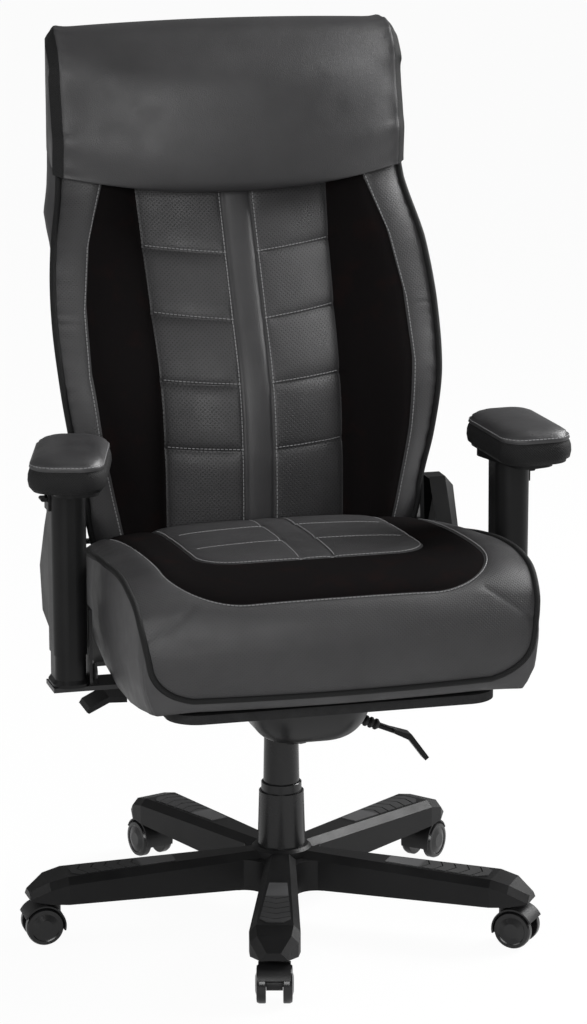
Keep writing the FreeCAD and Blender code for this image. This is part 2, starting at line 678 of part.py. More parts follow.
def lever_pieces():
    start, end = height_lever_line()
    rod = bar(LEVER_ROD_RADIUS, start, end)
    half = HEIGHT_PADDLE_DEPTH / 2
    thick = HEIGHT_PADDLE_THICKNESS
    outer = -HEIGHT_LEVER_REACH
    inner = outer + HEIGHT_PADDLE_LENGTH
    top = end.z + thick / 2
    outline = [(inner, top - 1), (inner - 24, top + 1), (outer + 4, top - 12), (outer, top - 18)]
    outline += [(outer + 3, top - 12 - thick), (inner - 24, top - thick + 1), (inner, top - thick)]
    paddle = prism([V(x, HEIGHT_LEVER_Y - half, z) for x, z in outline], V(0, 2 * half, 0))
    for i in range(GRIP_GROOVE_COUNT):
        y = HEIGHT_LEVER_Y - half + 5 + i * GRIP_GROOVE_PITCH
        paddle = paddle.cut(box(outer - 5, outer + 32, y, y + 3, top - 40, top - 17))
    save("height_lever", rod.fuse(paddle))

    start, end = lock_lever_line()
    rod = bar(LEVER_ROD_RADIUS, start, end)
    half = LOCK_PADDLE_WIDTH / 2
    t = LOCK_PADDLE_THICKNESS / 2
    outline = [(end.x - 14, end.z + 6 + t), (end.x + 10, end.z - 2 + t), (end.x + 34, end.z - 33)]
    outline += [(end.x + 29, end.z - 37), (end.x + 7, end.z - 5 - t), (end.x - 14, end.z + 6 - t)]
    paddle = prism([V(x, LOCK_LEVER_Y - half, z) for x, z in outline], V(0, 2 * half, 0))
    save("tilt_lock_lever", rod.fuse(paddle))
    save("lever_bellows", bellows(start, end))


def bellows(start, end):
    """The ribbed sleeve on the tilt-lock lever, outside the housing."""
    along = end.sub(start).normalize()
    begin = 27.0
    pitch = 7.4
    profile = [(LEVER_ROD_RADIUS, 0.0)]
    for i in range(BELLOWS_RIBS):
        profile.append((BELLOWS_RADIUS - 2.4, i * pitch))
        profile.append((BELLOWS_RADIUS, i * pitch + pitch * 0.3))
        profile.append((BELLOWS_RADIUS, i * pitch + pitch * 0.6))
    profile.append((BELLOWS_RADIUS - 2.4, BELLOWS_RIBS * pitch))
    profile.append((LEVER_ROD_RADIUS, BELLOWS_RIBS * pitch))
    sleeve = turned(profile)
    turn = math.degrees(math.atan2(along.x, along.z))
    sleeve.rotate(V(0, 0, 0), V(0, 1, 0), turn)
    sleeve.translate(start + along * begin)
    return sleeve


# Seat


def seat_section(y, half_width, bottom, top, crown):
    """One upright slice of the seat cushion, closed by eight edges."""
    low_x = half_width - SEAT_BOTTOM_DRAW
    low_z = bottom + (top - bottom) * 0.22
    high_x = half_width - SEAT_TOP_ROLL
    high_z = top - (top - bottom) * 0.26
    bend = 0.7
    right = [V(low_x, y, bottom), V(half_width - 4, y, low_z), V(half_width - 2, y, high_z), V(high_x, y, top)]
    left = [V(-p.x, p.y, p.z) for p in right]
    low_middle = V(low_x + (half_width - 4 - low_x) * bend, y, bottom + (low_z - bottom) * (1 - bend))
    high_middle = V(high_x + (half_width - 2 - high_x) * bend, y, top - (top - high_z) * (1 - bend))
    side_middle = V(half_width, y, 0.5 * (low_z + high_z))

    def flip(p):
        return V(-p.x, p.y, p.z)

    edges = [line(left[0], right[0]), arc(right[0], low_middle, right[1]), arc(right[1], side_middle, right[2])]
    edges.append(arc(right[2], high_middle, right[3]))
    edges.append(arc(right[3], V(0, y, top + crown), left[3]))
    edges.append(arc(left[3], flip(high_middle), left[2]))
    edges.append(arc(left[2], flip(side_middle), left[1]))
    edges.append(arc(left[1], flip(low_middle), left[0]))
    return Part.Wire(edges)


def seat_pan():
    front = SEAT_FRONT_Y + 46
    rear = SEAT_REAR_Y - 8
    centre = 0.5 * (front + rear)
    return oval_prism(PAN_HALF_WIDTH, 0.5 * (rear - front), PAN_BOTTOM, PAN_BOTTOM + PAN_THICKNESS, 40, 0, centre)


def seat_plate():
    """The tilt mechanism's top plate with side flanges and pivot ears."""
    under = PAN_BOTTOM - PLATE_THICKNESS
    y0 = HOUSING_CENTRE_Y - PLATE_HALF_LENGTH
    y1 = HOUSING_CENTRE_Y + PLATE_HALF_LENGTH
    plate = box(-PLATE_HALF_WIDTH, PLATE_HALF_WIDTH, y0, y1, under, PAN_BOTTOM)
    flange = box(PLATE_HALF_WIDTH - EAR_THICKNESS, PLATE_HALF_WIDTH, y0, y1, under - 10, under)
    ear_half = TILT_SHAFT_RADIUS + 8
    outline = [
        (TILT_PIVOT_Y - ear_half - 10, under), (TILT_PIVOT_Y - ear_half, TILT_PIVOT_Z - ear_half + 4),
        (TILT_PIVOT_Y, TILT_PIVOT_Z - ear_half), (TILT_PIVOT_Y + ear_half, TILT_PIVOT_Z - ear_half + 4),
        (TILT_PIVOT_Y + ear_half + 10, under),
    ]
    ear = side_prism(outline, EAR_OFFSET, EAR_OFFSET + EAR_THICKNESS)
    for piece in (flange, ear):
        plate = plate.fuse(piece).fuse(mirror_x(piece))
    half = PLATE_HALF_WIDTH
    hole = bar(TILT_SHAFT_RADIUS + RUNNING_FIT, V(-half, TILT_PIVOT_Y, TILT_PIVOT_Z), V(half, TILT_PIVOT_Y, TILT_PIVOT_Z))
    return plate.cut(hole)


def bolt(x, y, under):
    """A hexagon bolt that enters the seat pan from below a plate."""
    shaft = post(SEAT_BOLT_RADIUS, under, PAN_BOTTOM + PAN_THICKNESS - 2, x, y)
    points = []
    for i in range(6):
        angle = math.pi * i / 3
        dx = SEAT_BOLT_HEAD_RADIUS * math.cos(angle)
        dy = SEAT_BOLT_HEAD_RADIUS * math.sin(angle)
        points.append(V(x + dx, y + dy, under - SEAT_BOLT_HEAD_HEIGHT))
    return shaft.fuse(prism(points, V(0, 0, SEAT_BOLT_HEAD_HEIGHT)))


def seat_bolts():
    under = PAN_BOTTOM - PLATE_THICKNESS
    bolts = []
    for sx in (-1, 1):
        for sy in (-1, 1):
            x = sx * (PLATE_HALF_WIDTH - 16)
            y = HOUSING_CENTRE_Y + sy * (PLATE_HALF_LENGTH - 14)
            bolts.append(bolt(x, y, under))
        for dx in (0.35, 0.75):
            x = sx * between(dx, 0, STRAP_INNER_X, 1, PAN_HALF_WIDTH)
            bolts.append(bolt(x, ARM_Y, PAN_BOTTOM - STRAP_THICKNESS))
    for sx in (-1, 1):
        bolts.append(bolt(sx * 178, 60, PAN_BOTTOM - BRACKET_THICKNESS))
    return bolts


def seat_pieces():
    bolts = seat_bolts()
    pan = seat_pan()
    plate = seat_plate()
    cushion = loft([seat_section(*row) for row in SEAT_SECTIONS]).cut(pan)
    for item in bolts:
        pan = pan.cut(item)
        plate = plate.cut(item)
    save("seat_pan", pan)
    save("seat_plate", plate)
    save("seat_bolts", *bolts)
    save("seat_cushion", cushion)


# Arms, built on the +X side and mirrored


def arm_strap():
    """The steel strap under the seat with the upright beside the arm post."""
    z1 = PAN_BOTTOM
    z0 = z1 - STRAP_THICKNESS
    y0 = ARM_Y - STRAP_WIDTH / 2
    y1 = ARM_Y + STRAP_WIDTH / 2
    strap = box(STRAP_INNER_X, ARM_X + COLLAR_HALF_X + 4, y0, y1, z0, z1)
    upright_x = ARM_X - COLLAR_HALF_X - COLLAR_FLARE - MOVING_GAP
    upright = box(upright_x - 4, upright_x, y0 + 8, y1 - 8, z1, z1 + 100)
    return strap.fuse(upright).removeSplitter()


def arm_collar():
    """The moulded foot that holds the post on the strap."""
    low = PAN_BOTTOM
    wires = []
    for share, grow in ((0.0, COLLAR_FLARE - 0.5), (0.1, COLLAR_FLARE), (0.22, 0.0), (1.0, 0.0)):
        z = low + share * (COLLAR_TOP - MOVING_GAP - low)
        wires.append(oval(COLLAR_HALF_X + grow, COLLAR_HALF_Y + grow, z, 16 + grow, ARM_X, ARM_Y))
    return loft(wires, True).cut(arm_post_outer())


def arm_post_outer():
    return oval_prism(POST_HALF_X, POST_HALF_Y, PAN_BOTTOM, POST_TOP, 13, ARM_X, ARM_Y)


def arm_post():
    inner = oval_prism(POST_HALF_X - POST_WALL, POST_HALF_Y - POST_WALL, 0, POST_TOP, 10, ARM_X, ARM_Y)
    return arm_post_outer().cut(inner)


def arm_sleeve():
    """The sliding sleeve with its closed top and the slot for the trigger."""
    gap = MOVING_GAP * 0.75
    outer = loft([
        oval(SLEEVE_HALF_X - 1, SLEEVE_HALF_Y - 1, COLLAR_TOP, 17, ARM_X, ARM_Y),
        oval(SLEEVE_HALF_X, SLEEVE_HALF_Y, SLEEVE_TOP, 18, ARM_X, ARM_Y),
    ], True)
    inner = oval_prism(
        POST_HALF_X + gap, POST_HALF_Y + gap, COLLAR_TOP, SLEEVE_TOP - SLEEVE_CAP, 13 + gap, ARM_X, ARM_Y
    )
    housing = box(
        ARM_X + SLEEVE_HALF_X - 4, ARM_X + SLEEVE_HALF_X + 3,
        ARM_Y - TRIGGER_WIDTH / 2 - 4, ARM_Y + TRIGGER_WIDTH / 2 + 4,
        TRIGGER_Z - TRIGGER_THICKNESS / 2 - 12, SLEEVE_TOP,
    )
    low = TRIGGER_Z - TRIGGER_THICKNESS / 2 - SEAT_GAP
    high = TRIGGER_Z + TRIGGER_THICKNESS / 2 + TRIGGER_TRAVEL + SEAT_GAP
    half = TRIGGER_WIDTH / 2 + SEAT_GAP
    slot = box(ARM_X + POST_HALF_X - 6, ARM_X + SLEEVE_HALF_X + 20, ARM_Y - half, ARM_Y + half, low, high)
    return outer.fuse(housing).cut(inner).cut(slot).cut(pad_pin(SEAT_GAP))


def arm_trigger():
    x0 = ARM_X + POST_HALF_X + 1
    x1 = ARM_X + SLEEVE_HALF_X + TRIGGER_REACH
    half = TRIGGER_WIDTH / 2
    low = TRIGGER_Z - TRIGGER_THICKNESS / 2
    tab = box(x0, x1 - 4, ARM_Y - half, ARM_Y + half, low, low + TRIGGER_THICKNESS)
    nose = Part.makeCylinder(TRIGGER_THICKNESS / 2, TRIGGER_WIDTH, V(x1 - 4, ARM_Y - half, TRIGGER_Z), V(0, 1, 0))
    return tab.fuse(nose).removeSplitter()


def pad_pin(gap=0.0):
    """The pin under the pad plate on which the arm pad turns."""
    return post(7 + gap, SLEEVE_TOP - SLEEVE_CAP, SLEEVE_TOP, ARM_X, ARM_Y)


def pad_plate():
    low = SLEEVE_TOP + SEAT_GAP
    centre_y = ARM_Y - PAD_FORWARD * 0.6
    plate = oval_prism(
        PAD_PLATE_WIDTH / 2, PAD_PLATE_LENGTH / 2, low, low + PAD_PLATE_THICKNESS, 20, ARM_X, centre_y
    )
    return plate.fuse(post(7, SLEEVE_TOP - SLEEVE_CAP, low, ARM_X, ARM_Y))


def arm_pad():
    """The padded top: upright sides, a rolled edge and a low crown."""
    low = SLEEVE_TOP + SEAT_GAP + PAD_PLATE_THICKNESS
    y = ARM_Y - PAD_FORWARD
    half_x = PAD_WIDTH / 2
    half_y = PAD_LENGTH / 2
    levels = [
        (0.0, -9.0, 24.0), (0.16, -2.0, 30.0), (0.55, 0.0, 32.0), (1.0, -2.0, 30.0),
    ]
    wires = []
    for share, grow, corner in levels:
        wires.append(oval(half_x + grow, half_y + grow, low + share * PAD_SIDE_HEIGHT, corner, ARM_X, y))
    wires.append(oval(half_x - 12, half_y - 12, low + PAD_SIDE_HEIGHT + PAD_CROWN * 0.62, 26, ARM_X, y))
    wires.append(oval(half_x - 28, half_y - 32, low + PAD_SIDE_HEIGHT + PAD_CROWN, 16, ARM_X, y))
    return loft(wires, True)


def arm_pieces():
    bolts = seat_bolts()
    builders = {
        "arm_strap": arm_strap(), "arm_post": Part.makeCompound([arm_post(), arm_collar()]),
        "arm_sleeve": arm_sleeve(), "arm_trigger": arm_trigger(),
        "arm_pad_plate": pad_plate(), "arm_pad": arm_pad(),
    }
    for side in ("left", "right"):
        for name, shape in builders.items():
            placed = shape.copy() if side == "left" else mirror_x(shape)
            if name in ("arm_pad", "arm_pad_plate"):
                x = ARM_X if side == "left" else -ARM_X
                placed = turn_z(placed, PAD_TURN[side], x, ARM_Y)
            if name == "arm_strap":
                for item in bolts:
                    placed = placed.cut(item)
            save(name + "_" + side, placed)


# Recliner brackets


def lower_bracket():
    """The seat-side plate: a foot under the pan and an upright behind the cushion."""
    x0 = BACK_BRACKET_X + BRACKET_THICKNESS + MOVING_GAP
    x1 = x0 + BRACKET_THICKNESS
    behind = SEAT_REAR_Y + 4
    foot_low = PAN_BOTTOM - BRACKET_THICKNESS
    foot = box(140, x1, 36, RECLINE_Y + 38, foot_low, PAN_BOTTOM)
    outline = [
        (behind, foot_low), (RECLINE_Y + 38, foot_low), (RECLINE_Y + 30, RECLINE_Z - 20),
        (RECLINE_Y + 18, RECLINE_Z + 16), (RECLINE_Y, RECLINE_Z + 24), (RECLINE_Y - 18, RECLINE_Z + 16),
        (RECLINE_Y - 34, RECLINE_Z - 24), (behind, PAN_BOTTOM + 14),
    ]
    bracket = foot.fuse(side_prism(outline, x0, x1)).cut(recline_pin())
    for item in seat_bolts():
        bracket = bracket.cut(item)
    return bracket.removeSplitter()


def recline_pin():
    x0 = BACK_BRACKET_X - 4
    x1 = cover_outer_x() - BRACKET_COVER_WALL - 1
    pin = bar(PIN_RADIUS, V(x0, RECLINE_Y, RECLINE_Z), V(x1, RECLINE_Y, RECLINE_Z))
    head = bar(PIN_RADIUS + 4, V(x0 - 4, RECLINE_Y, RECLINE_Z), V(x0, RECLINE_Y, RECLINE_Z))
    return pin.fuse(head)


def cover_inner_x():
    return BACK_BRACKET_X + 2 * BRACKET_THICKNESS + MOVING_GAP


def cover_outer_x():
    return cover_inner_x() + BRACKET_COVER_DEPTH


COVER_OUTLINE = [
    (84, 374), (116, 354), (214, 384), (233, 452), (192, 528), (164, 562), (136, 562), (100, 500), (80, 448),
]


def bracket_cover():
    """The faceted plastic cap over a recliner bracket, open on its inner side."""
    middle_y = sum(y for y, z in COVER_OUTLINE) / len(COVER_OUTLINE)
    middle_z = sum(z for y, z in COVER_OUTLINE) / len(COVER_OUTLINE)

    def ring(x, inset):
        points = []
        for y, z in COVER_OUTLINE:
            reach = math.hypot(y - middle_y, z - middle_z)
            share = (reach - inset) / reach
            points.append(V(x, middle_y + (y - middle_y) * share, middle_z + (z - middle_z) * share))
        return polygon(points)

    shoulder = cover_outer_x() - 12
    outer = loft([ring(cover_inner_x(), 0), ring(shoulder, 0), ring(cover_outer_x(), 14)], True)
    inner = loft([
        ring(cover_inner_x(), BRACKET_COVER_WALL), ring(shoulder, BRACKET_COVER_WALL),
        ring(cover_outer_x() - BRACKET_COVER_WALL, 14 + BRACKET_COVER_WALL),
    ], True)
    return outer.cut(inner)


def back_bracket():
    """The plate that turns on the recline pin and carries the back board."""
    x0 = BACK_BRACKET_X
    x1 = x0 + BRACKET_THICKNESS
    outline = [
        (RECLINE_Y - 16, RECLINE_Z - 10), (RECLINE_Y, RECLINE_Z - 20), (RECLINE_Y + 16, RECLINE_Z - 10),
        (RECLINE_Y + 24, RECLINE_Z + 40), (RECLINE_Y + 24, RECLINE_Z + 128),
        (RECLINE_Y - 8, RECLINE_Z + 132), (RECLINE_Y - 16, RECLINE_Z + 40),
    ]
    hole = bar(PIN_RADIUS + RUNNING_FIT, V(0, RECLINE_Y, RECLINE_Z), V(x1, RECLINE_Y, RECLINE_Z))
    return side_prism(outline, x0, x1).cut(hole)


def recline_lever():
    """The lever on the sitter's right, from the pin forward to its hooked tip."""
    x0 = SEAT_HALF_WIDTH + 1.6
    x1 = x0 + 3.0
    outline = [
        (RECLINE_Y + 12, RECLINE_Z), (RECLINE_Y, RECLINE_Z + 12), (RECLINE_Y - 14, RECLINE_Z + 4),
        (70, 396), (-62, 386), (-66, 394), (-74, 394), (-80, 384), (-78, 374), (-88, 370), (-70, 368),
        (-50, 374), (66, 382), (RECLINE_Y - 10, RECLINE_Z - 12), (RECLINE_Y + 6, RECLINE_Z - 11),
    ]
    hole = bar(PIN_RADIUS + RUNNING_FIT, V(x0 - 1, RECLINE_Y, RECLINE_Z), V(x1 + 1, RECLINE_Y, RECLINE_Z))
    return mirror_x(side_prism(outline, x0, x1).cut(hole))


def bracket_pieces():
    pin = recline_pin()
    lower = lower_bracket()
    upper = back_bracket()
    for item in back_bolts():
        upper = upper.cut(item)
    save("seat_brackets", lower, mirror_x(lower))
    save("recline_pins", pin, mirror_x(pin))
    save("back_brackets", upper, mirror_x(upper))
    slot_x0 = SEAT_HALF_WIDTH + 0.8
    lever_slot = box(slot_x0, slot_x0 + 5, 60, 130, 366, 436)
    cover = bracket_cover()
    save("bracket_cover_left", cover)
    save("bracket_cover_right", mirror_x(cover.cut(lever_slot)))
    save("recline_lever", recline_lever())


# Back


def back_section(z, half_width, centre_y, valley):
    """One level slice of the back cushion: two bolsters, a middle panel, a flat rear."""
    valley_x = BACK_VALLEY_X * half_width / BACK_LEVELS[4][1]
    crest_x = 0.5 * (valley_x + half_width)
    edge_y = centre_y + BACK_EDGE_SET
    rear_y = centre_y + BACK_THICKNESS
    right = V(half_width, edge_y, z)
    left = V(-half_width, edge_y, z)
    dip_right = V(valley_x, centre_y + valley, z)
    dip_left = V(-valley_x, centre_y + valley, z)
    edges = [
        arc(right, V(crest_x, centre_y + BACK_CREST_RISE, z), dip_right),
        arc(dip_right, V(0, centre_y, z), dip_left),
        arc(dip_left, V(-crest_x, centre_y + BACK_CREST_RISE, z), left),
        line(left, V(6 - half_width, rear_y, z)),
        line(V(6 - half_width, rear_y, z), V(half_width - 6, rear_y, z)),
        line(V(half_width - 6, rear_y, z), right),
    ]
    return Part.Wire(edges)


def back_layer(levels, inset, near, far, corner):
    """A layer behind the cushion that follows the back's curve."""
    wires = []
    for z, half_width, centre_y, valley in levels:
        half = half_width - inset
        y0 = centre_y + near
        y1 = centre_y + far
        points = [V(-half, y0, z), V(half, y0, z), V(half, y1 - corner, z), V(half - 2 * corner, y1, z)]
        points += [V(2 * corner - half, y1, z), V(-half, y1 - corner, z)]
        wires.append(polygon(points))
    return loft(wires, True)


def cushion_front(z):
    """Y of the middle panel's front at a height under the head pad."""
    low, high = HEAD_LIP_LEVELS
    return between(z, low[0], low[2], high[0], high[2])


def head_section(x, inset, lift):
    """One upright slice of the head pad, wrapped over the top of the back."""
    low = HEAD_BOTTOM + lift + inset
    high = HEAD_TOP - inset
    front = HEAD_FRONT_Y + inset
    seat = CUSHION_TOP + SEAT_GAP
    points = [
        V(x, cushion_front(low) - 2, low + 6), V(x, front + 16, low), V(x, front + 4, low + 14),
        V(x, front, low + 42), V(x, front + 10, 1090), V(x, 262 + inset * 0.6, high - 16),
        V(x, 306, high), V(x, 352 - inset * 0.4, high - 20), V(x, 362 - inset, high - 66),
        V(x, 340 - inset, high - 78), V(x, cushion_front(seat) + BACK_THICKNESS + 3, seat),
        V(x, cushion_front(seat) - 2, seat),
    ]
    edges = [
        line(points[11], points[0]),
        line(points[0], points[1]),
        arc(points[1], points[2], points[3]),
        arc(points[3], points[4], points[5]),
        arc(points[5], points[6], points[7]),
        line(points[7], points[8]),
        line(points[8], points[9]),
        line(points[9], points[10]),
        line(points[10], points[11]),
    ]
    return Part.Wire(edges)


def head_pad():
    wide = HEAD_HALF_WIDTH
    rows = [
        (-wide, 15, 29), (-wide + 10, 4, 27), (-wide + 55, 0, 17), (-wide * 0.4, 0, 4), (0, 0, 0),
        (wide * 0.4, 0, 4), (wide - 55, 0, 17), (wide - 10, 4, 27), (wide, 15, 29),
    ]
    return loft([head_section(*row) for row in rows], True)


def back_bolts():
    """Bolts through the back brackets into the board's side lugs."""
    bolts = []
    outside = BACK_BRACKET_X + BRACKET_THICKNESS
    for rise in BACK_BOLT_RISES:
        y = RECLINE_Y + 15
        z = RECLINE_Z + rise
        head = bar(6, V(outside, y, z), V(outside + 5, y, z))
        bolts.append(head.fuse(bar(4, V(BACK_BRACKET_X - 30, y, z), V(outside, y, z))))
    return bolts + [mirror_x(item) for item in bolts]


def back_pieces():
    cushion = loft([back_section(*row) for row in BACK_LEVELS])
    near = BACK_THICKNESS
    far = near + BACK_BOARD_THICKNESS
    board = back_layer(BACK_LEVELS, 16, near, far, 2)
    low = RECLINE_Z + BACK_BOLT_RISES[0] - 18
    high = RECLINE_Z + BACK_BOLT_RISES[1] + 18
    lug = box(190, BACK_BRACKET_X, RECLINE_Y + 10, RECLINE_Y + 20, low, high)
    board = board.fuse(lug).fuse(mirror_x(lug))
    cover = back_layer(BACK_LEVELS, 6, far, far + BACK_COVER_THICKNESS, 5).cut(lug).cut(mirror_x(lug))
    wide = 2 * HEAD_HALF_WIDTH
    cushion = cushion.cut(board).cut(box(-wide, wide, 0, wide, CUSHION_TOP, BACK_TOP + 1))
    cushion = max(cushion.Solids, key=lambda solid: solid.Volume)
    pad = head_pad().cut(board).cut(cover)
    pad = max(pad.Solids, key=lambda solid: solid.Volume)
    bolts = back_bolts()
    for item in bolts:
        board = board.cut(item)
    save("back_bolts", *bolts)
    save("back_board", board)
    save("back_cushion", cushion)
    save("back_rear_cover", cover)
    save("head_pad", pad)


base_pieces()
caster_pieces()
column_base_pieces()
column_moving_pieces()
mechanism_pieces()
lever_pieces()
seat_pieces()
arm_pieces()
bracket_pieces()
back_pieces()
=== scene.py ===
import math
import bmesh
import bpy
import numpy as np
from mathutils import Matrix, Vector


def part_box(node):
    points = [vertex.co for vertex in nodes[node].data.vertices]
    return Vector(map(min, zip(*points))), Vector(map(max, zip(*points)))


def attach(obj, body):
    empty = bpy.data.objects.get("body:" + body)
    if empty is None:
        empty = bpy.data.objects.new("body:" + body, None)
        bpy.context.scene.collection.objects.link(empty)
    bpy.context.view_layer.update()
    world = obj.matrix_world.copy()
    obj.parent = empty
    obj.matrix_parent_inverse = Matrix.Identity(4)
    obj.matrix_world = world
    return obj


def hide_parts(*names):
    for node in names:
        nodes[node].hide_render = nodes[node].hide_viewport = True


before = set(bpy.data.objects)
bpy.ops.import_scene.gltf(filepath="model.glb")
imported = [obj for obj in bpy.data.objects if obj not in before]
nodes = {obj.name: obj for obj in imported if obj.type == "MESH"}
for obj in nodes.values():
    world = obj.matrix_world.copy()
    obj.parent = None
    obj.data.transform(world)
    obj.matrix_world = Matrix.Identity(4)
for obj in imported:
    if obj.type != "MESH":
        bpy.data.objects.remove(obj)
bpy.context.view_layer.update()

# View of the chair: a long lens at standing height, a little to the sitter's right of the
# chair's front, looking down at the seat.
CAMERA_PLACE = (-1.3722, -5.1864, 1.8662)
CAMERA_DOWN = 13.68
CAMERA_HEADING = 15.0
CAMERA_ROLL = -0.106
CAMERA_LENS = 147.66
camera_data = bpy.data.cameras.new("camera")
camera_data.lens = CAMERA_LENS
camera_data.sensor_width = 36.0
camera_data.clip_end = 100.0
camera = bpy.data.objects.new("camera", camera_data)
bpy.context.scene.collection.objects.link(camera)
aim = Matrix.Rotation(math.radians(-CAMERA_HEADING), 4, "Z")
aim = aim @ Matrix.Rotation(math.radians(90 - CAMERA_DOWN), 4, "X")
aim = aim @ Matrix.Rotation(math.radians(CAMERA_ROLL), 4, "Z")
camera.matrix_world = Matrix.Translation(CAMERA_PLACE) @ aim
bpy.context.scene.camera = camera
bpy.context.scene.view_settings.view_transform = "Standard"


# Studio: a pale seamless floor, a white surround and four soft lamps. The surround and the
# floor look white, and the floor keeps the chair's soft shadow.
FLOOR_SIZE = 30.0
FLOOR_COLOR = (0.55, 0.55, 0.55)
SURROUND = 0.22
LAMPS = [
    ("lamp_key", (-1.0, -3.8, 2.1), 2.0, 76.0),
    ("lamp_left", (-3.2, -0.4, 1.5), 1.8, 22.0),
    ("lamp_side", (2.8, 0.5, 2.4), 1.6, 150.0),
    ("lamp_top", (0.4, -0.4, 3.8), 2.6, 7.0),
]


def new_material(name):
    """An empty material: its tree and the Principled shader, wired to the output."""
    material = bpy.data.materials.new(name)
    material.use_nodes = True
    tree = material.node_tree
    tree.nodes.clear()
    output = tree.nodes.new("ShaderNodeOutputMaterial")
    shader = tree.nodes.new("ShaderNodeBsdfPrincipled")
    tree.links.new(shader.outputs["BSDF"], output.inputs["Surface"])
    return material, tree, shader


def add_object(name, mesh):
    piece = bpy.data.objects.new(name, mesh)
    bpy.context.scene.collection.objects.link(piece)
    return piece


floor_mesh = bpy.data.meshes.new("floor")
half = FLOOR_SIZE / 2
floor_mesh.from_pydata(
    [(-half, -half, 0), (half, -half, 0), (half, half, 0), (-half, half, 0)], [], [(0, 1, 2, 3)]
)
floor = add_object("floor", floor_mesh)
floor_material, tree, shader = new_material("floor_paper")
shader.inputs["Base Color"].default_value = (*FLOOR_COLOR, 1)
shader.inputs["Roughness"].default_value = 0.9
light_path = tree.nodes.new("ShaderNodeLightPath")
white = tree.nodes.new("ShaderNodeEmission")
white.inputs["Color"].default_value = (1, 1, 1, 1)
white.inputs["Strength"].default_value = 1.03
seen = tree.nodes.new("ShaderNodeMath")
seen.operation = "MULTIPLY_ADD"
tree.links.new(light_path.outputs["Is Glossy Ray"], seen.inputs[0])
seen.inputs[1].default_value = 0.4
tree.links.new(light_path.outputs["Is Camera Ray"], seen.inputs[2])
share = tree.nodes.new("ShaderNodeMath")
share.operation = "MULTIPLY"
share.inputs[1].default_value = 0.93
tree.links.new(seen.outputs[0], share.inputs[0])
mix = tree.nodes.new("ShaderNodeMixShader")
tree.links.new(share.outputs[0], mix.inputs["Fac"])
tree.links.new(shader.outputs["BSDF"], mix.inputs[1])
tree.links.new(white.outputs["Emission"], mix.inputs[2])
tree.links.new(mix.outputs["Shader"], tree.nodes["Material Output"].inputs["Surface"])
floor.data.materials.append(floor_material)

world = bpy.data.worlds.new("surround")
bpy.context.scene.world = world
world.use_nodes = True
tree = world.node_tree
tree.nodes.clear()
world_output = tree.nodes.new("ShaderNodeOutputWorld")
background = tree.nodes.new("ShaderNodeBackground")
light_path = tree.nodes.new("ShaderNodeLightPath")
level = tree.nodes.new("ShaderNodeMapRange")
level.inputs["To Min"].default_value = SURROUND
level.inputs["To Max"].default_value = 1.03
tree.links.new(light_path.outputs["Is Camera Ray"], level.inputs["Value"])
tree.links.new(level.outputs["Result"], background.inputs["Strength"])
tree.links.new(background.outputs["Background"], world_output.inputs["Surface"])

for name, place, size, power in LAMPS:
    data = bpy.data.lights.new(name, "AREA")
    data.size = size
    data.energy = power
    lamp = bpy.data.objects.new(name, data)
    bpy.context.scene.collection.objects.link(lamp)
    to_chair = Vector((0, 0, 0.6)) - Vector(place)
    lamp.matrix_world = Matrix.Translation(place) @ to_chair.to_track_quat("-Z", "Y").to_matrix().to_4x4()


# Moulded black nylon of the base, column covers, arms and levers: a fine spark texture from
# the mould, and a slightly uneven tone and gloss.
def new_group(name, inputs, outputs):
    """A shader group with its inputs as (name, kind, value) and outputs as (name, kind)."""
    group = bpy.data.node_groups.new(name, "ShaderNodeTree")
    for label, kind, value in inputs:
        socket = group.interface.new_socket(name=label, in_out="INPUT", socket_type=kind)
        if value is not None:
            socket.default_value = value
    for label, kind in outputs:
        group.interface.new_socket(name=label, in_out="OUTPUT", socket_type=kind)
    source = group.nodes.new("NodeGroupInput")
    sink = group.nodes.new("NodeGroupOutput")
    return group, source, sink


def math_node(tree, operation, first, second=None, clamp=False):
    node = tree.nodes.new("ShaderNodeMath")
    node.operation = operation
    node.use_clamp = clamp
    for index, value in enumerate((first, second)):
        if value is None:
            continue
        if isinstance(value, (int, float)):
            node.inputs[index].default_value = value
        else:
            tree.links.new(value, node.inputs[index])
    return node.outputs[0]


def mixed_color(tree, factor, first, second):
    node = tree.nodes.new("ShaderNodeMix")
    node.data_type = "RGBA"
    if isinstance(factor, (int, float)):
        node.inputs["Factor"].default_value = factor
    else:
        tree.links.new(factor, node.inputs["Factor"])
    for socket, value in ((node.inputs[6], first), (node.inputs[7], second)):
        if isinstance(value, tuple):
            socket.default_value = (*value, 1)
        else:
            tree.links.new(value, socket)
    return node.outputs[2]


def mapped(tree, value, low, high, new_low, new_high):
    node = tree.nodes.new("ShaderNodeMapRange")
    tree.links.new(value, node.inputs["Value"])
    for label, number in (("From Min", low), ("From Max", high), ("To Min", new_low), ("To Max", new_high)):
        node.inputs[label].default_value = number
    return node.outputs["Result"]


def axes(tree, vector):
    """A vector's X, Y and Z, as outputs to link from."""
    split = tree.nodes.new("ShaderNodeSeparateXYZ")
    tree.links.new(vector, split.inputs[0])
    return split.outputs


def set_color(tree, shader, factor, first, second):
    """Base colour between two colours by a factor."""
    tree.links.new(mixed_color(tree, factor, first, second), shader.inputs["Base Color"])


def set_gloss(tree, shader, value, low, high):
    """Roughness between two values as an even noise goes from its low to its high end."""
    tree.links.new(mapped(tree, value, 0.3, 0.7, low, high), shader.inputs["Roughness"])


def noise(tree, vector, scale, detail=2.0, rough=0.5):
    node = tree.nodes.new("ShaderNodeTexNoise")
    node.inputs["Scale"].default_value = scale
    node.inputs["Detail"].default_value = detail
    node.inputs["Roughness"].default_value = rough
    tree.links.new(vector, node.inputs["Vector"])
    return node.outputs["Fac"]


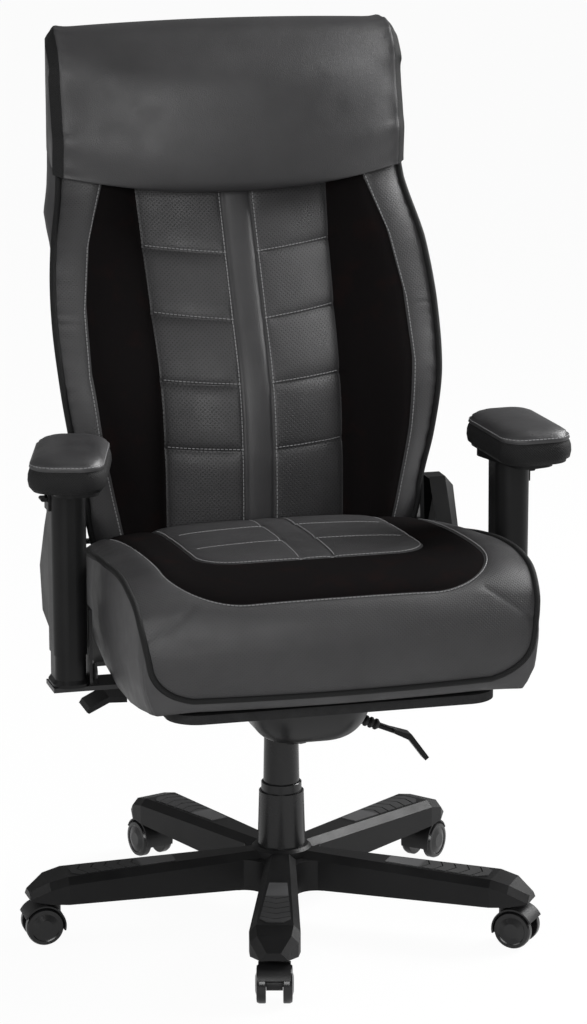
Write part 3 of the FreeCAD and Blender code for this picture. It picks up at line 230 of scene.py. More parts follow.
def cells(tree, vector, scale):
    node = tree.nodes.new("ShaderNodeTexVoronoi")
    node.inputs["Scale"].default_value = scale
    tree.links.new(vector, node.inputs["Vector"])
    return node.outputs["Distance"]


def bump(tree, shader, height, distance):
    node = tree.nodes.new("ShaderNodeBump")
    node.inputs["Distance"].default_value = distance
    tree.links.new(height, node.inputs["Height"])
    tree.links.new(node.outputs["Normal"], shader.inputs["Normal"])


def object_vector(tree):
    return tree.nodes.new("ShaderNodeTexCoord").outputs["Object"]


def map_vector(tree):
    return tree.nodes.new("ShaderNodeUVMap").outputs["UV"]


grain_group, source, sink = new_group(
    "moulded_grain",
    [("Vector", "NodeSocketVector", None), ("Grain", "NodeSocketFloat", 1.0)],
    [("Height", "NodeSocketFloat"), ("Clouds", "NodeSocketFloat")],
)
fine = cells(grain_group, source.outputs["Vector"], 1900.0)
speck = noise(grain_group, source.outputs["Vector"], 950.0, 3.0, 0.6)
grain_sum = math_node(grain_group, "ADD", math_node(grain_group, "MULTIPLY", fine, 0.6), speck)
grain_sum = math_node(grain_group, "MULTIPLY", grain_sum, source.outputs["Grain"])
grain_group.links.new(grain_sum, sink.inputs["Height"])
grain_group.links.new(noise(grain_group, source.outputs["Vector"], 14.0, 4.0, 0.55), sink.inputs["Clouds"])


def place_group(tree, group, vector, values):
    node = tree.nodes.new("ShaderNodeGroup")
    node.node_tree = group
    tree.links.new(vector, node.inputs["Vector"])
    for label, value in values.items():
        node.inputs[label].default_value = value
    return node


GRAIN_DEPTH = 0.00012


def moulded_plastic(name, dark, light, rough_low, rough_high, grain=1.0, specular=0.45):
    material, tree, shader = new_material(name)
    group = place_group(tree, grain_group, object_vector(tree), {"Grain": grain})
    clouds = mapped(tree, group.outputs["Clouds"], 0.3, 0.7, 0.0, 1.0)
    set_color(tree, shader, clouds, dark, light)
    set_gloss(tree, shader, group.outputs["Clouds"], rough_low, rough_high)
    shader.inputs["Specular IOR Level"].default_value = specular
    bump(tree, shader, group.outputs["Height"], GRAIN_DEPTH)
    return material


def dress(node, material):
    piece = nodes[node]
    piece.data.materials.clear()
    piece.data.materials.append(material)


base_nylon = moulded_plastic(
    "base_nylon", (0.0055, 0.0055, 0.0058), (0.009, 0.009, 0.0094), 0.4, 0.52, specular=0.26
)
arm_plastic = moulded_plastic(
    "arm_plastic", (0.0035, 0.0035, 0.0038), (0.006, 0.006, 0.0063), 0.36, 0.46, 0.6, 0.26
)
cover_plastic = moulded_plastic(
    "cover_plastic", (0.007, 0.007, 0.0075), (0.0105, 0.0105, 0.011), 0.22, 0.3, 0.3
)
dress("base_star", base_nylon)
for name in ("cover_lower", "cover_middle", "cover_upper"):
    dress(name, cover_plastic)
for side in ("left", "right"):
    for name in ("arm_post_", "arm_sleeve_", "arm_trigger_", "arm_pad_plate_", "bracket_cover_"):
        dress(name + side, arm_plastic)
for name in ("tension_knob", "height_lever", "tilt_lock_lever"):
    dress(name, arm_plastic)

# Tread pads of the base: a soft grey insert let into the top of each leg, smooth near the hub
# and cut with chevron grooves further out, so that shoes don't slip.
TREAD_SMOOTH_END = 0.196
material, tree, shader = new_material("tread_rubber")
vector = object_vector(tree)
split = axes(tree, vector)
across = math_node(tree, "MULTIPLY", split["X"], split["X"])
along = math_node(tree, "MULTIPLY", split["Y"], split["Y"])
radius = math_node(tree, "SQRT", math_node(tree, "ADD", across, along))
smooth_end = mapped(tree, radius, TREAD_SMOOTH_END, TREAD_SMOOTH_END + 0.004, 1.0, 0.0)
group = place_group(tree, grain_group, vector, {"Grain": 1.0})
scuffs = mapped(tree, group.outputs["Clouds"], 0.35, 0.7, 0.0, 1.0)
darker = mixed_color(tree, scuffs, (0.022, 0.022, 0.023), (0.034, 0.034, 0.035))
lighter = mixed_color(tree, scuffs, (0.062, 0.062, 0.064), (0.082, 0.082, 0.084))
set_color(tree, shader, smooth_end, darker, lighter)
set_gloss(tree, shader, group.outputs["Clouds"], 0.62, 0.75)
bump(tree, shader, group.outputs["Height"], 0.0001)
dress("leg_treads", material)


# Twin-wheel casters: matt moulded hoods over glossier wheels, which carry a little dust where
# they roll on the floor.
hood_plastic = moulded_plastic("hood_plastic", (0.006, 0.006, 0.0065), (0.0095, 0.0095, 0.01), 0.4, 0.52, 0.7)
material, tree, shader = new_material("wheel_plastic")
vector = object_vector(tree)
split = axes(tree, vector)
group = place_group(tree, grain_group, vector, {"Grain": 0.3})
dust = mapped(tree, noise(tree, vector, 260.0, 4.0, 0.6), 0.45, 0.75, 0.0, 1.0)
low_down = mapped(tree, split["Z"], 0.0, 0.012, 1.0, 0.0)
dust = math_node(tree, "MULTIPLY", dust, low_down)
set_color(tree, shader, dust, (0.0085, 0.0085, 0.009), (0.05, 0.048, 0.045))
set_gloss(tree, shader, group.outputs["Clouds"], 0.16, 0.28)
bump(tree, shader, group.outputs["Height"], 0.00006)
wheel_plastic = material
for name in ("front", "left_front", "left_rear", "right_rear", "right_front"):
    dress("caster_" + name + "_hood", hood_plastic)
    for side in ("inner", "outer"):
        dress("caster_" + name + "_wheel_" + side, wheel_plastic)


# Steel of the column, mechanism and seat plate: black enamel over pressings, bright turned
# steel where the gas spring slides, and zinc-bright bolts.
def enamelled_steel(name, color, rough_low, rough_high):
    material, tree, shader = new_material(name)
    vector = object_vector(tree)
    peel = noise(tree, vector, 420.0, 2.0, 0.5)
    clouds = noise(tree, vector, 9.0, 3.0, 0.5)
    lighter = tuple(part * 1.7 for part in color)
    set_color(tree, shader, mapped(tree, clouds, 0.3, 0.7, 0.0, 1.0), color, lighter)
    set_gloss(tree, shader, clouds, rough_low, rough_high)
    bump(tree, shader, peel, 0.00008)
    return material


def turned_steel(name, color, rough_low, rough_high, rings):
    material, tree, shader = new_material(name)
    vector = object_vector(tree)
    split = axes(tree, vector)
    stretched = tree.nodes.new("ShaderNodeCombineXYZ")
    tree.links.new(math_node(tree, "MULTIPLY", split["X"], 30.0), stretched.inputs[0])
    tree.links.new(math_node(tree, "MULTIPLY", split["Y"], 30.0), stretched.inputs[1])
    tree.links.new(math_node(tree, "MULTIPLY", split["Z"], rings), stretched.inputs[2])
    marks = noise(tree, stretched.outputs[0], 1.0, 4.0, 0.6)
    shader.inputs["Metallic"].default_value = 1.0
    darker = tuple(part * 0.82 for part in color)
    set_color(tree, shader, mapped(tree, marks, 0.3, 0.7, 0.0, 1.0), darker, color)
    set_gloss(tree, shader, marks, rough_low, rough_high)
    bump(tree, shader, marks, 0.00005)
    return material


steel_black = enamelled_steel("steel_black", (0.0085, 0.0085, 0.009), 0.32, 0.42)
steel_bright = turned_steel("steel_bright", (0.62, 0.62, 0.63), 0.18, 0.3, 2600.0)
for name in (
    "gas_support_tube", "gas_cylinder", "mechanism_housing", "seat_plate", "seat_brackets", "back_brackets"
):
    dress(name, steel_black)
for name in ("arm_strap_left", "arm_strap_right", "tilt_spring", "recline_lever"):
    dress(name, steel_black)
for name in ("piston_rod", "rod_bearing", "tilt_shaft", "seat_bolts", "back_bolts", "recline_pins"):
    dress(name, steel_bright)
bush_plastic = moulded_plastic("bush_plastic", (0.05, 0.05, 0.052), (0.07, 0.07, 0.072), 0.4, 0.5, 0.4)
dress("guide_bush", bush_plastic)
dress("caster_sockets", bush_plastic)


# Rubber boot on the tilt lock lever: soft black rubber with a dusty bloom that dulls it in
# patches.
material, tree, shader = new_material("boot_rubber")
vector = object_vector(tree)
bloom = mapped(tree, noise(tree, vector, 180.0, 4.0, 0.6), 0.4, 0.75, 0.0, 1.0)
set_color(tree, shader, bloom, (0.01, 0.01, 0.0105), (0.02, 0.02, 0.0205))
tree.links.new(mapped(tree, bloom, 0.0, 1.0, 0.5, 0.68), shader.inputs["Roughness"])
bump(tree, shader, noise(tree, vector, 1400.0, 2.0, 0.5), 0.00008)
dress("lever_bellows", material)


# Dust cloth under the seat: thin black non-woven fabric stapled over the ply of the seat pan,
# with a fine web and a little lint.
material, tree, shader = new_material("dust_cloth")
vector = object_vector(tree)
web = cells(tree, vector, 520.0)
lint = noise(tree, vector, 60.0, 4.0, 0.6)
set_color(
    tree, shader, mapped(tree, lint, 0.35, 0.7, 0.0, 1.0), (0.008, 0.008, 0.0085), (0.016, 0.016, 0.0165)
)
shader.inputs["Roughness"].default_value = 0.85
bump(tree, shader, web, 0.0003)
dress("seat_pan", material)


# Upholstery leathers: grey coated leather with a fine pebble grain. The centre panels have rows
# of punched holes, and the strips beside them are black suede with a short brushed nap.
hole_group, source, sink = new_group(
    "punched_holes",
    [
        ("Vector", "NodeSocketVector", None), ("Pitch", "NodeSocketFloat", 0.006),
        ("Edge", "NodeSocketFloat", 0.45)
    ],
    [("Hole", "NodeSocketFloat")],
)
split = axes(hole_group, source.outputs["Vector"])
waves = []
for axis in ("X", "Y"):
    turns = math_node(hole_group, "DIVIDE", split[axis], source.outputs["Pitch"])
    waves.append(math_node(hole_group, "COSINE", math_node(hole_group, "MULTIPLY", turns, 2 * math.pi)))
both = math_node(hole_group, "MULTIPLY", waves[0], waves[1])
above = math_node(hole_group, "SUBTRACT", both, source.outputs["Edge"])
hole_group.links.new(math_node(hole_group, "MULTIPLY", above, 4.0, clamp=True), sink.inputs["Hole"])

leather_group, source, sink = new_group(
    "leather_grain",
    [("Vector", "NodeSocketVector", None)],
    [("Height", "NodeSocketFloat"), ("Tone", "NodeSocketFloat"), ("Sheen", "NodeSocketFloat")],
)
pebbles = cells(leather_group, source.outputs["Vector"], 780.0)
pores = noise(leather_group, source.outputs["Vector"], 1500.0, 2.0, 0.6)
creases = noise(leather_group, source.outputs["Vector"], 70.0, 4.0, 0.6)
height = math_node(
    leather_group, "ADD", math_node(leather_group, "MULTIPLY", pebbles, 0.8),
    math_node(leather_group, "MULTIPLY", pores, 0.35)
)
height = math_node(leather_group, "ADD", height, math_node(leather_group, "MULTIPLY", creases, 0.9))
leather_group.links.new(height, sink.inputs["Height"])
leather_group.links.new(noise(leather_group, source.outputs["Vector"], 11.0, 4.0, 0.55), sink.inputs["Tone"])
leather_group.links.new(noise(leather_group, source.outputs["Vector"], 34.0, 3.0, 0.5), sink.inputs["Sheen"])


def leather(name, dark, light, rough_low, rough_high, holes=0.0, pitch=0.006):
    """Grey coated leather, with punched holes where holes is above zero."""
    material, tree, shader = new_material(name)
    group = place_group(tree, leather_group, object_vector(tree), {})
    tone = mapped(tree, group.outputs["Tone"], 0.3, 0.7, 0.0, 1.0)
    color = mixed_color(tree, tone, dark, light)
    height = group.outputs["Height"]
    if holes > 0:
        punched = place_group(tree, hole_group, map_vector(tree), {"Pitch": pitch, "Edge": 0.45})
        mask = math_node(tree, "MULTIPLY", punched.outputs["Hole"], holes)
        # Each hole is painted near black: partly the dark backing under the leather, partly painted shade
        # inside the hole.
        color = mixed_color(tree, mask, color, (0.006, 0.006, 0.006))
        height = math_node(tree, "SUBTRACT", height, math_node(tree, "MULTIPLY", mask, 3.0))
    tree.links.new(color, shader.inputs["Base Color"])
    set_gloss(tree, shader, group.outputs["Sheen"], rough_low, rough_high)
    shader.inputs["Specular IOR Level"].default_value = 0.55
    bump(tree, shader, height, 0.00022)
    return material


LEATHER_DARK = (0.029, 0.0285, 0.0298)
LEATHER_LIGHT = (0.042, 0.0412, 0.0428)
leather_plain = leather("leather_plain", LEATHER_DARK, LEATHER_LIGHT, 0.4, 0.52)
leather_punched = leather("leather_punched", LEATHER_DARK, LEATHER_LIGHT, 0.42, 0.54, 0.85)
leather_bolster = leather("leather_bolster", LEATHER_DARK, LEATHER_LIGHT, 0.42, 0.54, 0.4, 0.0052)
# The gusset leather is painted lighter than the other leathers: a painted sheen for the light that falls on
# the side walls and gussets.
leather_gusset = leather("leather_gusset", (0.04, 0.0395, 0.041), (0.056, 0.055, 0.057), 0.44, 0.56)

suede, tree, shader = new_material("suede")
vector = object_vector(tree)
nap = noise(tree, vector, 24.0, 5.0, 0.6)
fibres = noise(tree, vector, 1700.0, 3.0, 0.7)
brushed = mapped(tree, nap, 0.52, 0.72, 0.0, 1.0)
base_tone = mixed_color(
    tree, mapped(tree, fibres, 0.3, 0.7, 0.0, 1.0), (0.005, 0.0045, 0.0046), (0.0095, 0.0082, 0.0084)
)
set_color(tree, shader, brushed, base_tone, (0.0105, 0.0068, 0.0066))
shader.inputs["Roughness"].default_value = 0.95
shader.inputs["Specular IOR Level"].default_value = 0.02
bump(tree, shader, fibres, 0.0003)

mesh_cloth, tree, shader = new_material("mesh_cloth")
punched = place_group(tree, hole_group, map_vector(tree), {"Pitch": 0.0034, "Edge": 0.1})
thread = noise(tree, object_vector(tree), 900.0, 2.0, 0.5)
knit = mixed_color(
    tree, mapped(tree, thread, 0.3, 0.7, 0.0, 1.0), (0.008, 0.008, 0.0085), (0.014, 0.014, 0.0145)
)
# The openings of the knit are painted near black: partly the dark layer beneath, partly painted shade inside
# each opening.
set_color(tree, shader, punched.outputs["Hole"], knit, (0.0015, 0.0015, 0.0015))
set_gloss(tree, shader, thread, 0.6, 0.75)
shader.inputs["Specular IOR Level"].default_value = 0.3
bump(tree, shader, math_node(tree, "SUBTRACT", thread, punched.outputs["Hole"]), 0.0006)

thread_light, tree, shader = new_material("thread_light")
twist = noise(tree, object_vector(tree), 1500.0, 2.0, 0.5)
set_color(tree, shader, twist, (0.16, 0.16, 0.163), (0.34, 0.34, 0.345))
shader.inputs["Roughness"].default_value = 0.6
bump(tree, shader, twist, 0.0002)


def grid_mesh(name, points, flat_map, slots, materials):
    """A mesh of a grid of points. flat_map has each point's place on the cut cloth in metres,
    and slots the material of each cell."""
    rows, columns = points.shape[:2]
    faces = []
    for r in range(rows - 1):
        for c in range(columns - 1):
            faces.append((
                r * columns + c, r * columns + c + 1, (r + 1) * columns + c + 1, (r + 1) * columns + c
            ))
    mesh = bpy.data.meshes.new(name)
    mesh.from_pydata(points.reshape(-1, 3).tolist(), [], faces)
    layer = mesh.uv_layers.new(name="UVMap")
    corners = np.empty(len(mesh.loops), dtype=np.int32)
    mesh.loops.foreach_get("vertex_index", corners)
    layer.data.foreach_set("uv", flat_map.reshape(-1, 2)[corners].ravel())
    for material in materials:
        mesh.materials.append(material)
    mesh.polygons.foreach_set("material_index", np.asarray(slots, dtype=np.int32).ravel())
    return mesh


def finish_soft(mesh, cap_slot=None):
    """Merge a grid's joined edges, close what is open, point faces out and smooth them."""
    work = bmesh.new()
    work.from_mesh(mesh)
    bmesh.ops.remove_doubles(work, verts=work.verts, dist=0.00002)
    open_edges = [edge for edge in work.edges if edge.is_boundary]
    if open_edges and cap_slot is not None:
        made = bmesh.ops.holes_fill(work, edges=open_edges, sides=0)["faces"]
        made = bmesh.ops.triangulate(work, faces=made)["faces"]
        for face in made:
            face.material_index = cap_slot
    bmesh.ops.recalc_face_normals(work, faces=work.faces)
    for face in work.faces:
        face.smooth = True
    work.to_mesh(mesh)
    work.free()


TUBE_SIDES = 10


def swept_tube(name, path, radius, material):
    """A tube along points, its cloth map in metres round and along it, its ends closed."""
    path = np.asarray(path, dtype=float)
    ahead = np.gradient(path, axis=0)
    ahead /= np.linalg.norm(ahead, axis=1)[:, None]
    up = np.array([0.0, 0.0, 1.0]) if abs(ahead[0][2]) < 0.9 else np.array([1.0, 0.0, 0.0])
    rings, flat = [], []
    travelled = 0.0
    for i, (place, direction) in enumerate(zip(path, ahead)):
        up = up - direction * np.dot(up, direction)
        up /= np.linalg.norm(up)
        side = np.cross(direction, up)
        if i:
            travelled += np.linalg.norm(place - path[i - 1])
        size = radius * (0.4 if i in (0, len(path) - 1) else 1.0)
        turns = np.linspace(0, 2 * math.pi, TUBE_SIDES + 1)
        rings.append([place + size * (math.cos(t) * side + math.sin(t) * up) for t in turns])
        flat.append([(t * radius, travelled) for t in turns])
    rings = np.array(rings)
    rings[:, -1] = rings[:, 0]
    mesh = grid_mesh(name, rings, np.array(flat), [0] * (len(path) - 1) * TUBE_SIDES, [material])
    finish_soft(mesh, 0)
    return mesh


# Stitches: one node tree sets short threads end to end along a seam line, and stitched() turns
# the result into a plain mesh that rides on a body.
stitch_tree = bpy.data.node_groups.new("stitch_row", "GeometryNodeTree")
stitch_tree.interface.new_socket(name="Geometry", in_out="INPUT", socket_type="NodeSocketGeometry")
for label, value in (("Pitch", 0.0052), ("Stitch", 0.0038), ("Thread", 0.0007)):
    socket = stitch_tree.interface.new_socket(name=label, in_out="INPUT", socket_type="NodeSocketFloat")
    socket.default_value = value
stitch_tree.interface.new_socket(name="Finish", in_out="INPUT", socket_type="NodeSocketMaterial")
stitch_tree.interface.new_socket(name="Geometry", in_out="OUTPUT", socket_type="NodeSocketGeometry")
source = stitch_tree.nodes.new("NodeGroupInput")
sink = stitch_tree.nodes.new("NodeGroupOutput")
to_curve = stitch_tree.nodes.new("GeometryNodeMeshToCurve")
resample = stitch_tree.nodes.new("GeometryNodeResampleCurve")
resample.mode = "LENGTH"
tangent = stitch_tree.nodes.new("GeometryNodeInputTangent")
align = stitch_tree.nodes.new("FunctionNodeAlignEulerToVector")
align.axis = "Z"
cylinder = stitch_tree.nodes.new("GeometryNodeMeshCylinder")
cylinder.inputs["Vertices"].default_value = 6
scatter = stitch_tree.nodes.new("GeometryNodeInstanceOnPoints")
realize = stitch_tree.nodes.new("GeometryNodeRealizeInstances")
finish = stitch_tree.nodes.new("GeometryNodeSetMaterial")
for start, end in (
    (
        source.outputs["Geometry"], to_curve.inputs["Mesh"]
    ), (to_curve.outputs["Curve"], resample.inputs["Curve"]),
    (source.outputs["Pitch"], resample.inputs["Length"]), (
        resample.outputs["Curve"], scatter.inputs["Points"]
    ),
    (source.outputs["Stitch"], cylinder.inputs["Depth"]), (
        source.outputs["Thread"], cylinder.inputs["Radius"]
    ),
    (
        cylinder.outputs["Mesh"], scatter.inputs["Instance"]
    ), (tangent.outputs["Tangent"], align.inputs["Vector"]),
    (align.outputs["Rotation"], scatter.inputs["Rotation"]), (
        scatter.outputs["Instances"], realize.inputs["Geometry"]
    ),
    (
        realize.outputs["Geometry"], finish.inputs["Geometry"]
    ), (source.outputs["Finish"], finish.inputs["Material"]),
    (finish.outputs["Geometry"], sink.inputs["Geometry"]),
):
    stitch_tree.links.new(start, end)


def stitched(name, lines, body, material):
    """Stitches along seam lines as one plain mesh that rides on a body."""
    vertices, edges = [], []
    for points in lines:
        first = len(vertices)
        vertices += [tuple(point) for point in points]
        edges += [(first + i, first + i + 1) for i in range(len(points) - 1)]
    guide = bpy.data.meshes.new(name + "_guide")
    guide.from_pydata(vertices, edges, [])
    maker = add_object(name + "_maker", guide)
    modifier = maker.modifiers.new("stitches", "NODES")
    modifier.node_group = stitch_tree
    for item in stitch_tree.interface.items_tree:
        if item.name == "Finish":
            modifier[item.identifier] = material
    ready = maker.evaluated_get(bpy.context.evaluated_depsgraph_get())
    mesh = bpy.data.meshes.new_from_object(ready)
    bpy.data.objects.remove(maker)
    piece = add_object(name, mesh)
    if not mesh.materials:
        mesh.materials.append(material)
    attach(piece, body)
    return piece


# Backrest: moulded foam under a sewn cover. Two punched leather columns beside a plain strip,
# a black suede strip in each valley, leather bolsters, and a side gusset behind the piping.
BACK_LEVELS = np.array([
    (0.440, 0.205, 0.112, 0.016), (0.520, 0.226, 0.106, 0.026), (0.560, 0.231, 0.105, 0.028),
    (0.630, 0.247, 0.108, 0.030), (0.710, 0.259, 0.124, 0.030), (0.800, 0.262, 0.165, 0.030),
    (0.880, 0.255, 0.203, 0.028), (0.955, 0.238, 0.237, 0.022), (1.060, 0.230, 0.265, 0.012),
    (1.130, 0.224, 0.280, 0.008),
])
QUILT_ROWS = np.array([
    (0.440, 0.440), (0.619, 0.622), (0.705, 0.710), (0.786, 0.795), (0.870, 0.879), (0.985, 0.985),
    (1.130, 1.130)
])
STRIP_HALF = 0.020
VALLEY_LINE = np.array([
    (0.440, 0.122), (0.622, 0.123), (0.710, 0.124), (0.795, 0.127), (0.879, 0.130), (0.955, 0.133),
    (1.130, 0.136)
])
SUEDE_EDGE = np.array([
    (0.440, 0.170), (0.500, 0.183), (0.560, 0.196), (0.636, 0.211), (0.725, 0.221), (0.807, 0.219),
    (0.887, 0.206), (0.968, 0.179), (1.130, 0.160)
])
BACK_EDGE = np.array([
    (0.440, 0.034), (0.560, 0.032), (0.630, 0.028), (0.710, 0.018), (0.800, 0.013), (0.880, 0.010),
    (0.955, 0.020), (1.130, 0.026)
])
BACK_REAR_SET = 0.077
SEAM_REACH = 0.007
FOOT_LIFT = 0.012
FOOT_TOP = 0.5
FOOT_FADE = 0.06
DEEP_FROM = 0.86
DEEP_FADE = 0.06
DEEP_REAR = 0.012
BACK_THREAD_RISE = 0.0003
PIPING_RADIUS = 0.0044


def smooth_row(table, z):
    """A table's row at a height, on a smooth curve through its rows."""
    keys = table[:, 0]
    i = int(np.clip(np.searchsorted(keys, z) - 1, 0, len(keys) - 2))
    t = (z - keys[i]) / (keys[i + 1] - keys[i])
    before = table[max(i - 1, 0)][1:]
    after = table[min(i + 2, len(keys) - 1)][1:]
    b, c = table[i][1:], table[i + 1][1:]
    slope_b = 0.5 * (c - before)
    slope_c = 0.5 * (after - b)
    return (
        (2 * t ** 3 - 3 * t ** 2 + 1) * b + (t ** 3 - 2 * t ** 2 + t) * slope_b
        + (3 * t ** 2 - 2 * t ** 3) * c + (t ** 3 - t ** 2) * slope_c
    )


def table_at(table, z):
    """A two-column table's value at a height, straight between its rows."""
    return np.interp(z, table[:, 0], table[:, 1])


def foot_lift(z):
    """How far the back's lower end is drawn up where it meets the seat."""
    return FOOT_LIFT * np.clip((FOOT_TOP - z) / FOOT_FADE, 0, 1)


def dip(distance, depth, reach=SEAM_REACH):
    return depth * math.exp(-abs(distance) / reach)


def back_front(x, z):
    """Y of the back's sewn front at a place, its seams drawn in."""
    half, centre, valley = smooth_row(BACK_LEVELS, z)
    valley_x = table_at(VALLEY_LINE, z)
    suede_x = table_at(SUEDE_EDGE, z)
    a = abs(x)
    if a <= valley_x:
        y = centre + valley * (a / valley_x) ** 2
    else:
        t = (a - valley_x) / (half - valley_x)
        edge = table_at(BACK_EDGE, z)
        y = centre + valley * (1 - t) + edge * t - 4 * (0.5 * (valley + edge) - 0.004) * t * (1 - t)
    y += dip(
        a - STRIP_HALF, 0.0034, 0.004
    ) + dip(a - valley_x, 0.0035, 0.006) + dip(a - suede_x, 0.003, 0.006)
    if STRIP_HALF < a < valley_x:
        slope = (a - STRIP_HALF) / (valley_x - STRIP_HALF)
        seams = QUILT_ROWS[1:5, 0] + slope * (QUILT_ROWS[1:5, 1] - QUILT_ROWS[1:5, 0])
        y += dip(np.abs(seams - z).min(), 0.0055, 0.007) * min(1.0, 8 * slope)
        y -= 0.002
    if a < STRIP_HALF:
        y -= 0.0014 * (1 - (a / STRIP_HALF) ** 4)
    if a > suede_x:
        wrinkle = math.sin(z * 310 + 3 * math.sin(z * 47)) * math.exp(-(half - a) / 0.012)
        y += 0.0011 * wrinkle
    return y


def spread(start, end, steps, crowd=0.5):
    """Numbers from start to end, closer together near both."""
    t = np.linspace(0, 1, steps + 1)
    eased = 0.5 - 0.5 * np.cos(math.pi * t)
    return start + (end - start) * ((1 - crowd) * t + crowd * eased)


levels = np.concatenate(
    [
        spread(QUILT_ROWS[i, 0], QUILT_ROWS[i + 1, 0], count, 0.8)[:-1] for i,
        count in enumerate((26, 18, 18, 18, 18, 10))
    ]
    + [[1.130]]
)
rows, flat, arc = [], [], 0.0
for k, z in enumerate(levels):
    half, centre, valley = smooth_row(BACK_LEVELS, z)
    valley_x = table_at(VALLEY_LINE, z)
    suede_x = table_at(SUEDE_EDGE, z)
    outer = table_at(QUILT_ROWS, z)
    stops = [
        spread(0, STRIP_HALF, 5), spread(STRIP_HALF, valley_x, 14, 0.7)[1:],
        spread(valley_x, suede_x, 9)[1:], spread(suede_x, half, 9)[1:]
    ]
    right = np.concatenate(stops)
    front = []
    for x in right:
        slope = np.clip((x - STRIP_HALF) / (valley_x - STRIP_HALF), 0, 1)
        place_z = z + slope * (outer - z)
        front.append((x, back_front(x, place_z), place_z))
    edge = front[-1]
    deep = float(np.clip((z - DEEP_FROM) / DEEP_FADE, 0, 1))
    rear_y = centre + BACK_REAR_SET + DEEP_REAR * deep
    gusset = []
    for t in spread(0, 1, 6)[1:]:
        out = 0.020 * t * (deep - 1) + (0.002 + 0.007 * deep) * math.sin(math.pi * t ** 0.8)
        gusset.append((edge[0] + out, edge[1] + (rear_y - edge[1]) * t, edge[2]))
    rear = []
    for t in spread(0, 1, 8, 0.2)[1:]:
        rear.append((gusset[-1][0] * (1 - t), rear_y + 0.006 * math.sin(math.pi * t / 2), edge[2]))
    half_loop = front + gusset + rear
    loop = [(-x, y, place_z) for x, y, place_z in reversed(half_loop)] + half_loop[1:]
    if k:
        arc += math.hypot(z - levels[k - 1], centre - last_centre)
    last_centre = centre
    run = [0.0]
    for p, q in zip(half_loop, half_loop[1:]):
        run.append(run[-1] + math.dist(p[:2], q[:2]))
    lift = [p[2] - z for p in half_loop]
    flat_half = [(u, arc + v) for u, v in zip(run, lift)]
    flat.append([(-u, v) for u, v in reversed(flat_half)] + flat_half[1:])
    rows.append(loop)
rows = np.array(rows)
flat = np.array(flat)
middle = rows[0].mean(axis=0)
under_rows, under_flat = [], []
for t in (1.0, 0.75, 0.5, 0.25):
    ring = rows[0].copy()
    ring[:, 0] = middle[0] + (ring[:, 0] - middle[0]) * (1 - 0.05 * t ** 2)
    ring[:, 1] = middle[1] + (ring[:, 1] - middle[1]) * (1 - 0.42 * t ** 2)
    ring[:, 2] -= 0.012 * math.sin(math.pi * t / 2) - 0.012
    under_rows.append(ring)
    under_flat.append(flat[0] - np.array([0, 0.01 * t]))
base_rows = rows.copy()
base_rows[:, :, 2] += foot_lift(rows[:, :, 2])
rows = np.concatenate([np.array(under_rows), base_rows])
flat = np.concatenate([np.array(under_flat), flat])
columns_half = [1] * 5 + [0] * 14 + [2] * 9 + [3] * 9 + [4] * 6 + [4] * 8
loop_slots = columns_half[::-1] + columns_half
slots = [loop_slots for row in range(len(rows) - 1)]
back_mesh = grid_mesh(
    "back_cover", rows, flat, slots,
    [leather_punched, leather_plain, suede, leather_bolster, leather_gusset]
)
finish_soft(back_mesh, 4)
back_cover = add_object("back_cover", back_mesh)
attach(back_cover, "back")
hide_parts("back_cushion", "back_rear_cover", "back_board")


def back_line(points):
    """Points on the back's front along (x, height) pairs, finely divided."""
    made = []
    for (x0, z0), (x1, z1) in zip(points, points[1:]):
        steps = max(2, int(math.dist((x0, z0), (x1, z1)) / 0.004))
        for i in range(steps):
            t = i / steps
            x, z = x0 + (x1 - x0) * t, z0 + (z1 - z0) * t
            made.append((x, back_front(x, z) - BACK_THREAD_RISE, z + foot_lift(z)))
    return made


threads = []
for side in (-1, 1):
    for inner_z, outer_z in QUILT_ROWS[1:5]:
        valley_x = table_at(VALLEY_LINE, outer_z)
        threads.append(
            back_line([(side * 0.0235, inner_z + 0.003), (side * (valley_x - 0.002), outer_z + 0.003)])
        )
    threads.append(back_line([(side * 0.0232, 0.47), (side * 0.0232, 0.975)]))
    threads.append(back_line([(side * (x + 0.0035), z) for z, x in SUEDE_EDGE[1:8]] ))
stitched("back_stitches", threads, "back", thread_light)

piping_path = []
for z in np.linspace(0.452, 0.99, 80):
    half, centre, valley = smooth_row(BACK_LEVELS, z)
    piping_path.append((half + 0.0005, centre + table_at(BACK_EDGE, z) - 0.001, z + foot_lift(z)))
bottom = [
    (x, back_front(abs(x), 0.44) + 0.004 + 0.01 * (1 - abs(x) / 0.2), 0.4515)
    for x in np.linspace(0.198, -0.198, 40)
]
path = piping_path[::-1] + bottom + [(-x, y, z) for x, y, z in piping_path]
piping = add_object("back_piping", swept_tube("back_piping", path, PIPING_RADIUS, mesh_cloth))
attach(piping, "back")


# Seat cushion: foam on the plywood pan under a sewn cover. A punched centre panel, a U of black
# suede round it, a leather waterfall front, a mesh band on the edge and leather side walls.
SEAT_MIDDLE = np.array([
    (0.100, 0.524), (0.050, 0.534), (-0.050, 0.541), (-0.150, 0.545), (-0.220, 0.545), (-0.268, 0.539),
    (-0.300, 0.525), (-0.320, 0.502), (-0.330, 0.470), (-0.329, 0.440), (-0.321, 0.416), (-0.313, 0.401),
])
SEAT_EDGE = np.array([
    (0.100, 0.498), (0.040, 0.508), (-0.060, 0.527), (-0.150, 0.538), (-0.215, 0.539), (-0.262, 0.529),
    (-0.288, 0.511), (-0.301, 0.487), (-0.308, 0.460), (-0.308, 0.436), (-0.303, 0.416), (-0.298, 0.402),
])
SEAT_WIDTH = np.array([
    (0.0, 0.243), (0.10, 0.254), (0.22, 0.262), (0.36, 0.262), (0.42, 0.258), (0.50, 0.247), (0.60, 0.238)
])
SEAT_CORNER = 0.058
